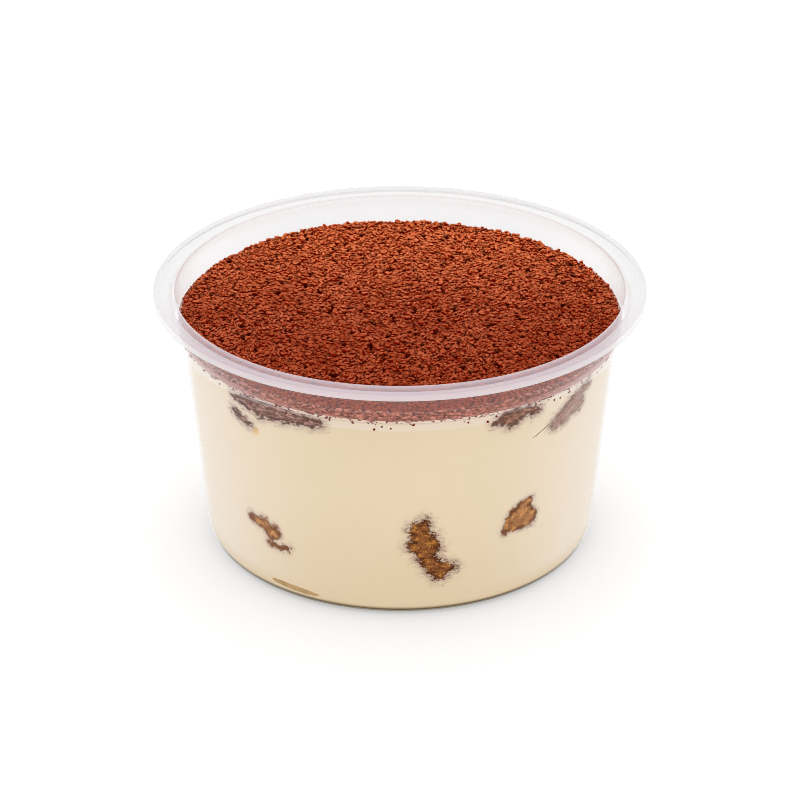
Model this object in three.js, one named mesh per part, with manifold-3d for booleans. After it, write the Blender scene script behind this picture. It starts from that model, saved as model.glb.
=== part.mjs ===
// A tiramisu in its round clear plastic cup: pale cream with coffee-soaked sponge
// fingers that show at the wall in two layers, a thin lighter cream on top of them, and
// a thick layer of cocoa powder under the open rim.
// Millimetres, +Z up, the origin at the centre of the cup's base, -Y to the front.
import * as THREE from 'three';
import { mergeVertices } from 'three/addons/utils/BufferGeometryUtils.js';
import Module from 'manifold-3d';

// ---------------------------------------------------------------- driving dimensions

// The cup: a thin tapered wall, a stacking ledge, a wider rim band and a turned flange.
const CUP_HEIGHT = 64.1;
const RIM_RADIUS = 58.5;
const BASE_RADIUS = 46.6; // the wall's outer face carried down to the floor
const WALL_TAPER = 0.0917; // outward run of the wall for each millimetre of height
const CORNER_RADIUS = 4.4; // outer round between the base and the wall
const WALL = 0.55;
const LEDGE_WALL = 0.65; // the ledge is a little thicker than the wall
const LEDGE_HEIGHT = 53.0; // the tapered wall ends here and steps out
const LEDGE_RISE = 2.1; // height of the ledge's outer round
const LEDGE_SHARPNESS = 4.8; // how flat the ledge runs before it turns up
const BAND_RADIUS = 54.2; // outer face of the rim band above the ledge
const BAND_WALL = 1.6; // the band is thickest just above the ledge
const BAND_FLARE = 0.35; // the band leans out by this much up to the flange
const BAND_FILLET = 0.7; // under the flange
const LIP_RADIUS = 53.7; // inner edge of the flange, at the mouth
const FLANGE_THICKNESS = 0.8;
const SKIRT_DROP = 1.6; // the flange's edge is turned down by this much
const SKIRT_WALL = 0.7;
const RIM_ROUND = 0.5; // chamfer that stands for the rim's rounded edges
const BEAD_INNER_RADIUS = 56.2; // a fine groove parts the flat lip from the outer bead
const GROOVE_DEPTH = 0.25;
const GROOVE_WIDTH = 0.9;

// The filling, as heights above the table.
const GAP = 0.3; // clearance between neighbouring solids
const COCOA_TOP = 57.0;
const COCOA_EDGE_DROP = 0.7; // the bed rolls off by this much towards the wall
const COCOA_RELIEF = 1.1; // height between the tops of its clumps and the pits
const COCOA_DRIFT = 0.9; // how far its points stray from even circles
const COCOA_SWELL = 0.25;
const COCOA_BOTTOM = 54.45; // at the front and the back of the wall
const COCOA_SLANT = 0.25; // the powder reaches this much lower on the right
const SEAM_HEIGHT = 51.1; // between the lighter top cream and the cream below it
const SEAM_RADIUS = 50.4; // where the seam meets the wall
const SEAM_WAVE = 0.2;
const FOLD_HEIGHT = 43.4; // lowest point of the fold where the top cream hangs down
const FOLD_AZIMUTH = 36.5; // degrees to the right of the front
const FOLD_WIDTH = 9; // degrees over which it hangs down to its lowest point
const FOLD_RISE = 0.37; // height that the fold gains for each degree past its lowest point
const CORE_RADIUS = 32; // of the flat middle of the filling's surfaces

// Fineness.
const CUP_SEGMENTS = 60;
const CORNER_STEPS = 4;
const LEDGE_STEPS = 4;
const FILL_SEGMENTS = 60;
const COCOA_RINGS = 20;
const FINGER_SECTIONS = 11;
const FINGER_SIDES = 10;
const SEED = 20417;

const DEGREE = Math.PI / 180;

// ---------------------------------------------------------------- small helpers

const wasm = await Module();
wasm.setup();

// A repeatable random number between 0 and 1.
function makeRandom(seed) {
  let state = seed >>> 0;
  return () => {
    state = (state + 0x6d2b79f5) >>> 0;
    let t = state;
    t = Math.imul(t ^ (t >>> 15), t | 1);
    t ^= t + Math.imul(t ^ (t >>> 7), t | 61);
    return ((t ^ (t >>> 14)) >>> 0) / 4294967296;
  };
}

const random = makeRandom(SEED);

function mix(a, b, t) {
  return a + (b - a) * t;
}

function smoothstep(low, high, value) {
  const t = Math.min(1, Math.max(0, (value - low) / (high - low)));
  return t * t * (3 - 2 * t);
}

// Points of an arc, both ends included, as [x, y] pairs.
function arc(cx, cy, radius, fromDegrees, toDegrees, steps) {
  return Array.from({ length: steps + 1 }, (_, i) => {
    const a = mix(fromDegrees, toDegrees, i / steps) * DEGREE;
    return [cx + radius * Math.cos(a), cy + radius * Math.sin(a)];
  });
}

function toManifold(geometry) {
  const bare = geometry.clone();
  bare.deleteAttribute('normal');
  bare.deleteAttribute('uv');
  const merged = mergeVertices(bare, 1e-4);
  const vertProperties = new Float32Array(merged.attributes.position.array);
  const triVerts = new Uint32Array(merged.index.array);
  return new wasm.Manifold(new wasm.Mesh({ numProp: 3, vertProperties, triVerts }));
}

function toGeometry(manifold) {
  const mesh = manifold.getMesh();
  const geometry = new THREE.BufferGeometry();
  geometry.setAttribute('position', new THREE.BufferAttribute(mesh.vertProperties, 3));
  geometry.setIndex(new THREE.BufferAttribute(mesh.triVerts, 1));
  geometry.computeVertexNormals();
  return geometry;
}

// A closed solid from one pole to the other through rings of points that run
// counter-clockwise seen from above, listed from the underside outwards, up the side
// and inwards over the top. Neighbouring rings may hold different numbers of points.
function ringSolid(startPole, rings, endPole) {
  const points = [startPole, ...rings.flat(), endPole];
  const faces = [];
  const starts = [];
  let next = 1;
  for (const ring of rings) {
    starts.push(next);
    next += ring.length;
  }
  const at = (k, i) => starts[k] + (i % rings[k].length);
  for (let i = 0; i < rings[0].length; i += 1) {
    faces.push(0, at(0, i + 1), at(0, i));
  }
  for (let k = 0; k + 1 < rings.length; k += 1) {
    const n = rings[k].length;
    const m = rings[k + 1].length;
    let i = 0;
    let j = 0;
    while (i < n || j < m) {
      if (j === m || (i < n && (i + 1) / n <= (j + 1) / m)) {
        faces.push(at(k, i), at(k, i + 1), at(k + 1, j));
        i += 1;
      } else {
        faces.push(at(k, i), at(k + 1, j + 1), at(k + 1, j));
        j += 1;
      }
    }
  }
  const last = rings.length - 1;
  for (let i = 0; i < rings[last].length; i += 1) {
    faces.push(at(last, i), at(last, i + 1), next);
  }
  const geometry = new THREE.BufferGeometry();
  geometry.setAttribute('position', new THREE.Float32BufferAttribute(points.flat(), 3));
  geometry.setIndex(faces);
  return geometry;
}

// One ring of points about the cup's axis. Radius and height are functions of the
// azimuth, which is 0 at the front and grows to the right.
function ring(count, radius, height) {
  return Array.from({ length: count }, (_, i) => {
    const azimuth = (360 * i) / count;
    const r = radius(azimuth);
    const a = azimuth * DEGREE;
    return [r * Math.sin(a), -r * Math.cos(a), height(azimuth)];
  });
}

// ---------------------------------------------------------------- the cup's profile

function coneRadius(z) {
  return BASE_RADIUS + WALL_TAPER * z;
}

// The corner between the floor and the tapered wall, moved inwards by an inset.
function cornerArc(inset, steps) {
  const tilt = Math.atan(WALL_TAPER) / DEGREE;
  const radius = CORNER_RADIUS - inset;
  const cx = coneRadius(CORNER_RADIUS) - CORNER_RADIUS / Math.cos(tilt * DEGREE);
  return arc(cx, CORNER_RADIUS, radius, -90, -tilt, steps);
}

// The stacking ledge: flat at first, then turning up into the rim band.
function ledgeCurve(inset, bandInset, lift, steps) {
  const start = coneRadius(LEDGE_HEIGHT) - inset;
  const end = BAND_RADIUS - bandInset;
  return Array.from({ length: steps + 1 }, (_, i) => {
    const t = i / steps;
    const rise = LEDGE_RISE * t ** LEDGE_SHARPNESS;
    return [mix(start, end, t), LEDGE_HEIGHT + lift + rise];
  });
}

function cupProfile() {
  const flangeUnder = CUP_HEIGHT - FLANGE_THICKNESS;
  const skirtBottom = CUP_HEIGHT - SKIRT_DROP;
  const bandTop = BAND_RADIUS + BAND_FLARE;
  const skirtInner = RIM_RADIUS - SKIRT_WALL;
  const halfGroove = GROOVE_WIDTH / 2;
  const outside = [
    [0, 0],
    ...cornerArc(0, CORNER_STEPS),
    ...ledgeCurve(0, 0, 0, LEDGE_STEPS),
    [bandTop, flangeUnder - BAND_FILLET],
    [bandTop + BAND_FILLET, flangeUnder],
    [skirtInner - 0.05, flangeUnder],
    [skirtInner, skirtBottom],
    [RIM_RADIUS, skirtBottom],
  ];
  const top = [
    [RIM_RADIUS, CUP_HEIGHT - RIM_ROUND],
    [RIM_RADIUS - RIM_ROUND, CUP_HEIGHT],
    [BEAD_INNER_RADIUS + halfGroove, CUP_HEIGHT],
    [BEAD_INNER_RADIUS, CUP_HEIGHT - GROOVE_DEPTH],
    [BEAD_INNER_RADIUS - halfGroove, CUP_HEIGHT],
    [LIP_RADIUS + RIM_ROUND, CUP_HEIGHT],
    [LIP_RADIUS, CUP_HEIGHT - RIM_ROUND],
  ];
  const inside = [
    ...ledgeCurve(WALL, BAND_WALL, LEDGE_WALL, LEDGE_STEPS).reverse(),
    ...cornerArc(WALL, 3).reverse(),
    [0, WALL],
  ];
  return [...outside, ...top, ...inside];
}

function cupGeometry() {
  const points = cupProfile().map(([x, y]) => new THREE.Vector2(x, y));
  const geometry = new THREE.LatheGeometry(points, CUP_SEGMENTS);
  geometry.rotateX(Math.PI / 2);
  return geometry;
}

// ---------------------------------------------------------------- the filling's side

// The outline that the filling may reach: the cup's inner face, less the clearance.
const fillCorner = cornerArc(WALL + GAP, CORNER_STEPS);
const fillLedge = ledgeCurve(WALL + GAP, BAND_WALL + GAP, LEDGE_WALL + GAP, LEDGE_STEPS);
const fillOutline = [
  ...fillCorner,
  ...fillLedge,
  [LIP_RADIUS - GAP, CUP_HEIGHT - RIM_ROUND],
];

function fillRadius(z) {
  const above = Math.max(1, fillOutline.findIndex((point) => point[1] >= z));
  const high = fillOutline[above];
  const low = fillOutline[above - 1];
  return mix(low[0], high[0], (z - low[1]) / (high[1] - low[1]));
}

// Angle between an azimuth and another one, from -180 to 180.
function turn(azimuth, from) {
  return ((azimuth - from + 540) % 360) - 180;
}

// Height of the seam under the top cream where it meets the wall. It hangs in one fold
// on the right of the front, which climbs again past its lowest point.
function seamAtWall(azimuth) {
  const past = turn(azimuth, FOLD_AZIMUTH);
  const fall = smoothstep(-FOLD_WIDTH, 0, past);
  const line = FOLD_HEIGHT + FOLD_RISE * Math.max(0, past);
  const folded = mix(SEAM_HEIGHT, Math.min(line, SEAM_HEIGHT), fall);
  const wave = SEAM_WAVE * Math.sin(3 * azimuth * DEGREE + 1);
  return Math.min(folded, SEAM_HEIGHT + wave);
}

// Away from the wall the seam levels out.
function seamHeight(azimuth, radius) {
  return mix(SEAM_HEIGHT, seamAtWall(azimuth), smoothstep(0.8, 1, radius / SEAM_RADIUS));
}

function cocoaUnderside(azimuth) {
  return COCOA_BOTTOM - COCOA_SLANT * Math.sin(azimuth * DEGREE);
}

// The filling's outer side between two heights, as rings that follow the cup.
function sideRings(heights) {
  return heights.map((height) => ring(FILL_SEGMENTS, (a) => fillRadius(height(a)), height));
}

// The number of points on a ring of a flat surface, thinned towards its middle.
function thinned(share) {
  return Math.max(12, 6 * Math.round((FILL_SEGMENTS * share) / 6));
}

// ---------------------------------------------------------------- sponge fingers

const END_OVERSHOOT = 4; // a finger is drawn past the wall and then cut off by it
const END_SHARE = 0.07; // of the length, over which the end's section stays the same
const FULL_SHARE = 0.3; // of the length, where the finger has its full section
const SECTION_POWER = 0.75; // below 1 the round section gets fuller corners
const FINGER_LUMPS = 0.08; // unevenness, as a share of the section

// A soaked sponge finger that runs through the cream from the front wall to the back
// wall. Each end is an azimuth, a height, and a width, thickness and tilt; the middle is
// fuller and lies flat. Margin grows it on all sides, for the pocket that holds it.
function fingerGeometry(finger, margin) {
  const wobble = makeRandom(finger.seed);
  const endPoint = (end) => {
    const r = fillRadius(end.z) + END_OVERSHOOT;
    return new THREE.Vector3(
      r * Math.sin(end.azimuth * DEGREE),
      -r * Math.cos(end.azimuth * DEGREE),
      end.z,
    );
  };
  const front = endPoint(finger.front);
  const back = endPoint(finger.back);
  const along = back.clone().sub(front);
  const sideways = new THREE.Vector3(along.y, -along.x, 0).normalize().negate();
  sideways.multiplyScalar(Math.sign(sideways.x) || 1);
  const up = new THREE.Vector3(0, 0, 1);
  const rings = [];
  for (let s = 0; s <= FINGER_SECTIONS; s += 1) {
    const t = s / FINGER_SECTIONS;
    const end = t < 0.5 ? finger.front : finger.back;
    const full = smoothstep(END_SHARE, FULL_SHARE, Math.min(t, 1 - t));
    const width = mix(end.width, finger.width, full);
    const thickness = mix(end.thickness, finger.thickness, full);
    const tilt = mix(end.tilt, 0, full) * DEGREE;
    const centre = front.clone().lerp(back, t);
    centre.z = mix(centre.z, finger.z, full);
    const section = [];
    for (let i = 0; i < FINGER_SIDES; i += 1) {
      const a = (-2 * Math.PI * i) / FINGER_SIDES;
      const lump = 1 + FINGER_LUMPS * (wobble() - 0.5);
      const u = Math.sign(Math.cos(a)) * Math.abs(Math.cos(a)) ** SECTION_POWER;
      const w = Math.sign(Math.sin(a)) * Math.abs(Math.sin(a)) ** SECTION_POWER;
      const x = u * ((width / 2) * lump + margin);
      const z = w * ((thickness / 2) * lump + margin);
      const point = centre.clone();
      point.addScaledVector(sideways, x * Math.cos(tilt) - z * Math.sin(tilt));
      point.addScaledVector(up, x * Math.sin(tilt) + z * Math.cos(tilt));
      section.push(point.toArray());
    }
    rings.push(section);
  }
  return ringSolid(front.toArray(), rings, back.toArray());
}

const fingers = [
  {
    name: 'sponge_lower_left', seed: 11, z: 17.5, width: 18, thickness: 11,
    front: { azimuth: -39, z: 17.0, width: 11.5, thickness: 3.4, tilt: -38 },
    back: { azimuth: 204, z: 18.5, width: 12, thickness: 6, tilt: 12 },
  },
  {
    name: 'sponge_lower_middle', seed: 12, z: 18.5, width: 18, thickness: 12,
    front: { azimuth: 8.6, z: 18.6, width: 16.5, thickness: 7, tilt: -62 },
    back: { azimuth: 177, z: 17, width: 10, thickness: 7, tilt: 25 },
  },
  {
    name: 'sponge_lower_right', seed: 13, z: 20, width: 17, thickness: 11,
    front: { azimuth: 34.7, z: 22.6, width: 10, thickness: 5, tilt: 38 },
    back: { azimuth: 144, z: 21, width: 13, thickness: 4.5, tilt: -20 },
  },
  {
    name: 'sponge_upper_left', seed: 14, z: 47.6, width: 23, thickness: 9,
    front: { azimuth: -34.5, z: 51.0, width: 24, thickness: 3.8, tilt: -1 },
    back: { azimuth: 208, z: 48.2, width: 18, thickness: 4.5, tilt: 5 },
  },
  {
    name: 'sponge_upper_middle', seed: 15, z: 48.2, width: 14, thickness: 8,
    front: { azimuth: 31.8, z: 50.8, width: 12, thickness: 3.2, tilt: 5 },
    back: { azimuth: 152, z: 49.3, width: 12, thickness: 4, tilt: -6 },
  },
  {
    name: 'sponge_upper_right', seed: 16, z: 47.2, width: 13, thickness: 8,
    front: { azimuth: 51.5, z: 47.4, width: 15, thickness: 3.4, tilt: 27 },
    back: { azimuth: 127, z: 46.2, width: 12, thickness: 4, tilt: -8 },
  },
];

// A thin crumb of sponge that lies in the round of the base, left of the front.
const crumb = {
  azimuth: -32.5, z: 3.7, length: 14, height: 1.8, depth: 3.2, tilt: 3, overlap: 0.8,
};

function crumbGeometry(margin) {
  const ball = new THREE.SphereGeometry(0.5, 12, 8);
  ball.scale(
    crumb.length + 2 * margin,
    crumb.depth + 2 * margin,
    crumb.height + 2 * margin,
  );
  const r = fillRadius(crumb.z) - crumb.overlap;
  ball.rotateY(crumb.tilt * DEGREE);
  ball.rotateZ(crumb.azimuth * DEGREE);
  ball.translate(
    r * Math.sin(crumb.azimuth * DEGREE),
    -r * Math.cos(crumb.azimuth * DEGREE),
    crumb.z,
  );
  return ball;
}

// ---------------------------------------------------------------- creams and cocoa

const floor = WALL + GAP;
const BLOCK_RADIUS = 60; // wider and deeper than the filling
const BLOCK_BOTTOM = -5;
const SEAM_RINGS = [BLOCK_RADIUS, SEAM_RADIUS, 47, 40.5, 20];
const CORE_RING = thinned(0.6);

// The space that the filling may take from the floor up to a level.
function fillTo(top) {
  const lowest = top(90);
  const bends = fillOutline.map((point) => point[1]).filter((z) => z < lowest);
  const heights = bends.map((z) => () => z);
  const rings = [...sideRings([...heights, top]), ring(CORE_RING, () => CORE_RADIUS, top)];
  return ringSolid([0, 0, floor], rings, [0, 0, top(0)]);
}

// Everything below the seam, lifted by an offset.
function seamBlockGeometry(offset) {
  const surface = SEAM_RINGS.map((radius) => {
    const count = thinned(Math.min(1, radius / SEAM_RADIUS));
    return ring(count, () => radius, (a) => seamHeight(a, radius) + offset);
  });
  const foot = ring(FILL_SEGMENTS, () => BLOCK_RADIUS, () => BLOCK_BOTTOM);
  const middle = [0, 0, SEAM_HEIGHT + offset];
  return ringSolid([0, 0, BLOCK_BOTTOM], [foot, ...surface], middle);
}

// The cocoa lies as a bed of clumps: every point of its top is lifted or sunk a little
// at random, and the bed rolls off towards the wall.
function cocoaGeometry() {
  const under = (a) => cocoaUnderside(a) + GAP / 2;
  const edge = 6 * COCOA_RINGS;
  const side = [
    ring(edge, (a) => fillRadius(under(a)), under),
    ring(edge, () => fillRadius(COCOA_TOP), () => COCOA_TOP - COCOA_EDGE_DROP),
  ];
  const top = [];
  for (let k = COCOA_RINGS - 1; k > 0; k -= 1) {
    const share = k / COCOA_RINGS;
    const radius = share * fillRadius(COCOA_TOP);
    const drift = () => radius + COCOA_DRIFT * (random() - 0.5);
    const swell = (a) => COCOA_SWELL * Math.sin(2 * a * DEGREE + 3 * share) * share;
    const height = (a) => COCOA_TOP + swell(a) + COCOA_RELIEF * (random() - 0.5);
    top.push(ring(6 * k, drift, height));
  }
  return ringSolid(
    [0, 0, COCOA_BOTTOM + GAP / 2],
    [ring(CORE_RING, () => CORE_RADIUS, under), ...side, ...top],
    [0, 0, COCOA_TOP],
  );
}

// ---------------------------------------------------------------- materials

function finish(color, roughness, opacity = 1) {
  const clear = opacity < 1;
  return new THREE.MeshStandardMaterial({
    color, roughness, metalness: 0, opacity, transparent: clear,
  });
}

// ---------------------------------------------------------------- the scene graph

const part = new THREE.Group();

function place(name, geometry, material) {
  const mesh = new THREE.Mesh(geometry, material);
  mesh.name = name;
  part.add(mesh);
}

const creams = toManifold(fillTo((a) => cocoaUnderside(a) - GAP / 2));
let creamBase = creams.intersect(toManifold(seamBlockGeometry(-GAP / 2)));
let creamTop = creams.subtract(toManifold(seamBlockGeometry(GAP / 2)));

for (const finger of fingers) {
  const solid = toManifold(fingerGeometry(finger, 0)).intersect(creams);
  const pocket = toManifold(fingerGeometry(finger, GAP));
  creamBase = creamBase.subtract(pocket);
  creamTop = creamTop.subtract(pocket);
  place(finger.name, toGeometry(solid), finish(0x96642c, 0.8));
}

const crumbSolid = toManifold(crumbGeometry(0)).intersect(creams);
creamBase = creamBase.subtract(toManifold(crumbGeometry(GAP)));

place('sponge_crumb', toGeometry(crumbSolid), finish(0xa98252, 0.8));
place('cream_base', toGeometry(creamBase), finish(0xe7d2b3, 0.45));
place('cream_top', toGeometry(creamTop), finish(0xf0e1cd, 0.45));
place('cocoa', cocoaGeometry(), finish(0x9c4020, 0.95));
place('cup', cupGeometry(), finish(0xe6e2ea, 0.12, 0.35));

export default part;
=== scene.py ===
# %% [markdown]
# # A tiramisu in a clear plastic cup
#
# A round deli cup of thin clear plastic holds a pale cream. Coffee-soaked sponge fingers
# lie in the cream in two layers and show where they touch the wall. A thinner, lighter
# cream covers them, and a thick bed of cocoa powder lies on top, a little under the rim.
#
# The construction model already fixes where everything is. This script dresses it: each
# plain solid is replaced by a finer surface in the same place, and every surface gets a
# finish. Lengths are written in millimetres and turned into metres by the factor MM.

# %% Load the frame
from itertools import product

import bpy
import numpy as np
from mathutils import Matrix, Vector


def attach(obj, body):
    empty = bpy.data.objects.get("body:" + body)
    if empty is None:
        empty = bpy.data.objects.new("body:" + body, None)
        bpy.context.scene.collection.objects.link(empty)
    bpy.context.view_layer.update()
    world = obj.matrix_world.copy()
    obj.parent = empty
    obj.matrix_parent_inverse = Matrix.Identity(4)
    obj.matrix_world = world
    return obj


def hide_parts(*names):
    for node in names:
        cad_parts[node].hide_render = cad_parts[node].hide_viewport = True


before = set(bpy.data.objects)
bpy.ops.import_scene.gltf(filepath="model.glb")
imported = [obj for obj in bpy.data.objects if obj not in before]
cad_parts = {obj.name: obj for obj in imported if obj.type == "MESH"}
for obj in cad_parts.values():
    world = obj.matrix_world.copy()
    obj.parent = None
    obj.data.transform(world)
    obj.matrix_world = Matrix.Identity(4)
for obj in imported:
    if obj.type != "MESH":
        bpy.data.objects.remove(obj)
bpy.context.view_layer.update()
MM = 0.001
DEGREE = np.pi / 180
print("nodes:", ", ".join(sorted(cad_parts)))

# %% [markdown]
# ## The camera
#
# The cup is seen from the front and from a little above, through a long lens, so the
# rim's ellipse is wide and its far side is nearly as large as its near side. A camera
# could be framed by hand; here its place, its target and its focal length are given as
# numbers that were fitted so that the rim and the base land where they should.

# %% Camera
CAMERA_PLACE = Vector((0, -699 * MM, 391.25 * MM))
CAMERA_TARGET = Vector((0, 0, 33.06 * MM))
FOCAL_LENGTH = 146.4  # mm, on a sensor 36 mm wide
SENSOR_WIDTH = 36

camera_data = bpy.data.cameras.new("camera")
camera_data.lens = FOCAL_LENGTH
camera_data.sensor_width = SENSOR_WIDTH
camera = bpy.data.objects.new("camera", camera_data)
bpy.context.scene.collection.objects.link(camera)
camera.location = CAMERA_PLACE
camera.rotation_euler = (CAMERA_TARGET - CAMERA_PLACE).to_track_quat("-Z", "Y").to_euler()
bpy.context.scene.camera = camera
print("camera distance:", round((CAMERA_TARGET - CAMERA_PLACE).length / MM), "mm")

# %% [markdown]
# ## Random numbers with a memory
#
# Crumbs, powder and stains need irregular numbers that are the same on every run. Value
# noise gives them: each whole-number point of a 3-D lattice gets a random number from a
# hash of its coordinates, and a point between them gets a smooth blend of the eight
# around it. Lumps come from cellular noise: every cell of a lattice holds one random
# centre, and a point's height falls with its distance from the nearest centre.

# %% Noise helpers
HASH_PRIMES = (374761393, 668265263, 2246822519, 3266489917)
HASH_MIX = 1274126177
HASH_TOP = float(2**24 - 1)


def hashed(cells, seed):
    """A number from 0 to 1 for each lattice cell: its coordinates, multiplied by large
    primes and added, with the bits mixed by shifting and multiplying."""
    parts = cells.astype(np.int64).astype(np.uint64)
    total = np.full(parts.shape[:-1], seed * HASH_PRIMES[3], dtype=np.uint64)
    for axis in range(parts.shape[-1]):
        total = total + parts[..., axis] * np.uint64(HASH_PRIMES[axis])
    total = total & np.uint64(0xFFFFFFFF)
    total = (total ^ (total >> np.uint64(13))) * np.uint64(HASH_MIX)
    total = total & np.uint64(0xFFFFFFFF)
    total = total ^ (total >> np.uint64(16))
    return (total & np.uint64(0xFFFFFF)).astype(float) / HASH_TOP


def smoothstep(low, high, value):
    """0 below low, 1 above high, and the curve t * t * (3 - 2 * t) between them."""
    t = np.clip((value - low) / (high - low), 0, 1)
    return t * t * (3 - 2 * t)


def mix(a, b, share):
    """A straight blend from a to b."""
    return a + (b - a) * share


def value_noise(points, size, seed):
    """Random lattice values, blended by smoothstep weights between the eight corners
    round each point. The lattice is as coarse as size. From -1 to 1."""
    scaled = points / size + 1000.0
    base = np.floor(scaled)
    weight_high = smoothstep(0, 1, scaled - base)
    total = np.zeros(points.shape[:-1])
    for corner in product((0, 1), repeat=3):
        step = np.array(corner)
        weight = np.where(step == 1, weight_high, 1 - weight_high).prod(axis=-1)
        total += weight * hashed(base + step, seed)
    return 2 * total - 1


def layered_noise(points, size, seed, octaves=3):
    """Value noise plus itself at half the size and half the height, and so on."""
    total = np.zeros(points.shape[:-1])
    height = 1.0
    for octave in range(octaves):
        total += height * value_noise(points, size / 2**octave, seed + octave)
        height *= 0.5
    return total / (2 - 2 * height)


def nearest_centre(points, size, seed):
    """Distance from each flat point to the nearest of the random centres, one in each
    square cell of the given size, in units of that size."""
    scaled = points[..., :2] / size + 1000.0
    base = np.floor(scaled)
    nearest = np.full(points.shape[:-1], 9.0)
    for shift in product((-1, 0, 1), repeat=2):
        cell = base + np.array(shift)
        centre = cell + np.stack([hashed(cell, seed), hashed(cell, seed + 1)], -1)
        nearest = np.minimum(nearest, np.linalg.norm(scaled - centre, axis=-1))
    return nearest


sample = value_noise(np.linspace(0, 50, 3000).reshape(-1, 3), 3, 1)
print("noise spreads from", sample.min().round(2), "to", sample.max().round(2))

# %% [markdown]
# ## From arrays to a mesh
#
# A surface worked out as a grid of points becomes a mesh of quads: each point is joined
# to its neighbours along the rows and the columns. Rows that go round the cup close on
# themselves. A pole, where a row shrinks to a single point, is closed with triangles.

# %% Mesh helpers


def make_piece(name, points, faces, smooth=True):
    """A mesh object at the origin from points in millimetres and a list of face arrays."""
    mesh = bpy.data.meshes.new(name)
    sizes = np.concatenate([np.full(len(f), f.shape[1]) for f in faces])
    corners = np.concatenate([f.ravel() for f in faces]).astype(np.int32)
    mesh.vertices.add(len(points))
    mesh.vertices.foreach_set("co", (points * MM).astype(np.float32).ravel())
    mesh.loops.add(len(corners))
    mesh.loops.foreach_set("vertex_index", corners)
    mesh.polygons.add(len(sizes))
    starts = np.concatenate([[0], np.cumsum(sizes)[:-1]]).astype(np.int32)
    mesh.polygons.foreach_set("loop_start", starts)
    mesh.polygons.foreach_set("use_smooth", np.full(len(sizes), smooth))
    mesh.update(calc_edges=True)
    mesh.validate()
    piece = bpy.data.objects.new(name, mesh)
    bpy.context.scene.collection.objects.link(piece)
    return piece


def grid_faces(rows, columns, first=0):
    """Quads of a grid whose rows close on themselves: point (i, j) is first + i * columns
    + j. They face outwards where rows run counter-clockwise and follow each other up."""
    i, j = np.meshgrid(np.arange(rows - 1), np.arange(columns), indexing="ij")
    right = (j + 1) % columns
    low = i * columns
    high = low + columns
    return np.stack([low + j, low + right, high + right, high + j], -1).reshape(-1, 4) + first


def closed_rows(name, start_pole, rows, end_pole):
    """A closed piece from a pole, through rows of points that run round, to a pole."""
    count, columns = rows.shape[:2]
    points = np.vstack([start_pole, rows.reshape(-1, 3), end_pole])
    ring = np.arange(columns)
    after = (ring + 1) % columns
    first = np.stack([np.zeros(columns, int), after + 1, ring + 1], -1)
    base = 1 + (count - 1) * columns
    last = np.stack([ring + base, after + base, np.full(columns, len(points) - 1)], -1)
    return make_piece(name, points, [first, grid_faces(count, columns, 1), last])


def store(piece, name, values):
    """Keeps one number for each point of a piece, under a name that a material reads."""
    attribute = piece.data.attributes.new(name, "FLOAT", "POINT")
    attribute.data.foreach_set("value", np.asarray(values, np.float32).ravel())


def polar(azimuth, radius, height):
    """Points about the cup's axis. The azimuth is in degrees, 0 at the front, and grows
    to the right: x = r sin a, y = -r cos a."""
    azimuth, radius, height = np.broadcast_arrays(azimuth, radius, height)
    angle = azimuth * DEGREE
    return np.stack([radius * np.sin(angle), -radius * np.cos(angle), height], -1)


def azimuth_of(points):
    """The azimuth of points in degrees, from -180 to 180."""
    return np.arctan2(points[..., 0], -points[..., 1]) / DEGREE


def triangles_of(piece):
    """How many triangles a piece has."""
    return sum(len(p.vertices) - 2 for p in piece.data.polygons)


# %% [markdown]
# ## The cup's profile
#
# The real cup is blown or pressed from one sheet of plastic, so it is a turned shape: a
# flat base with a rounded corner, a wall that leans out slightly, a ledge on which the
# next cup stacks, a thicker band, and a flange whose edge is turned down. It could be
# modelled by pushing a cylinder about; a profile carried round the axis is exact, and
# the same curves then say how far the filling may reach.

# %% Profile of the cup
CUP_HEIGHT = 64.1
RIM_RADIUS = 58.5
BASE_RADIUS = 46.6
WALL_TAPER = 0.0917
CORNER_RADIUS = 4.4
WALL = 0.55
LEDGE_HEIGHT = 53.0
LEDGE_RISE = 2.1
LEDGE_SHARPNESS = 4.8
BAND_RADIUS = 54.2
BAND_WALL = 1.6
BAND_INNER_TOP = 57.0
LIP_RADIUS = 53.35
FLANGE_THICKNESS = 0.8
SKIRT_DROP = 1.6
SKIRT_WALL = 0.7
BEAD_INNER_RADIUS = 56.2
GROOVE_DEPTH = 0.25

# How cloudy each stretch of the plastic is at the front, the sides and the back, from 0
# to 1. A number below 0 takes away the haze of a surface that turns away from the eye.
# The foot's haze shows the dark olive film there, a painted contact shadow.
HAZE = dict(
    foot=(0.38, 0.1, 0.0), wall=(0.0, 0.0, 0.0), band=(0.12, 0.20, 0.24),
    inner_band=(0.05, -0.05, -0.2), flange=(0.34, 0.36, 0.30), bead=(0.50, 0.46, 0.44),
    groove=(0.38, 0.34, 0.28), lip=(0.42, 0.42, 0.34))
HAZE = {key: np.array(values) for key, values in HAZE.items()}
CLEAR = np.full(3, -0.7)


def arc(centre_r, centre_z, radius, start, end, steps):
    """Points of an arc about a centre: (r + R cos a, z + R sin a), angles in degrees."""
    angle = np.linspace(start, end, steps + 1) * DEGREE
    return np.stack([centre_r + radius * np.cos(angle), centre_z + radius * np.sin(angle)], -1)


def cone_radius(z):
    """The tapered wall's outer radius grows in a straight line with the height."""
    return BASE_RADIUS + WALL_TAPER * z


def corner_arc(inset, steps):
    """The round between the base and the wall, moved inwards by an inset."""
    lean = np.arctan(WALL_TAPER)
    centre_r = cone_radius(CORNER_RADIUS) - CORNER_RADIUS / np.cos(lean)
    return arc(centre_r, CORNER_RADIUS, CORNER_RADIUS - inset, -90, -lean / DEGREE, steps)


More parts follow.
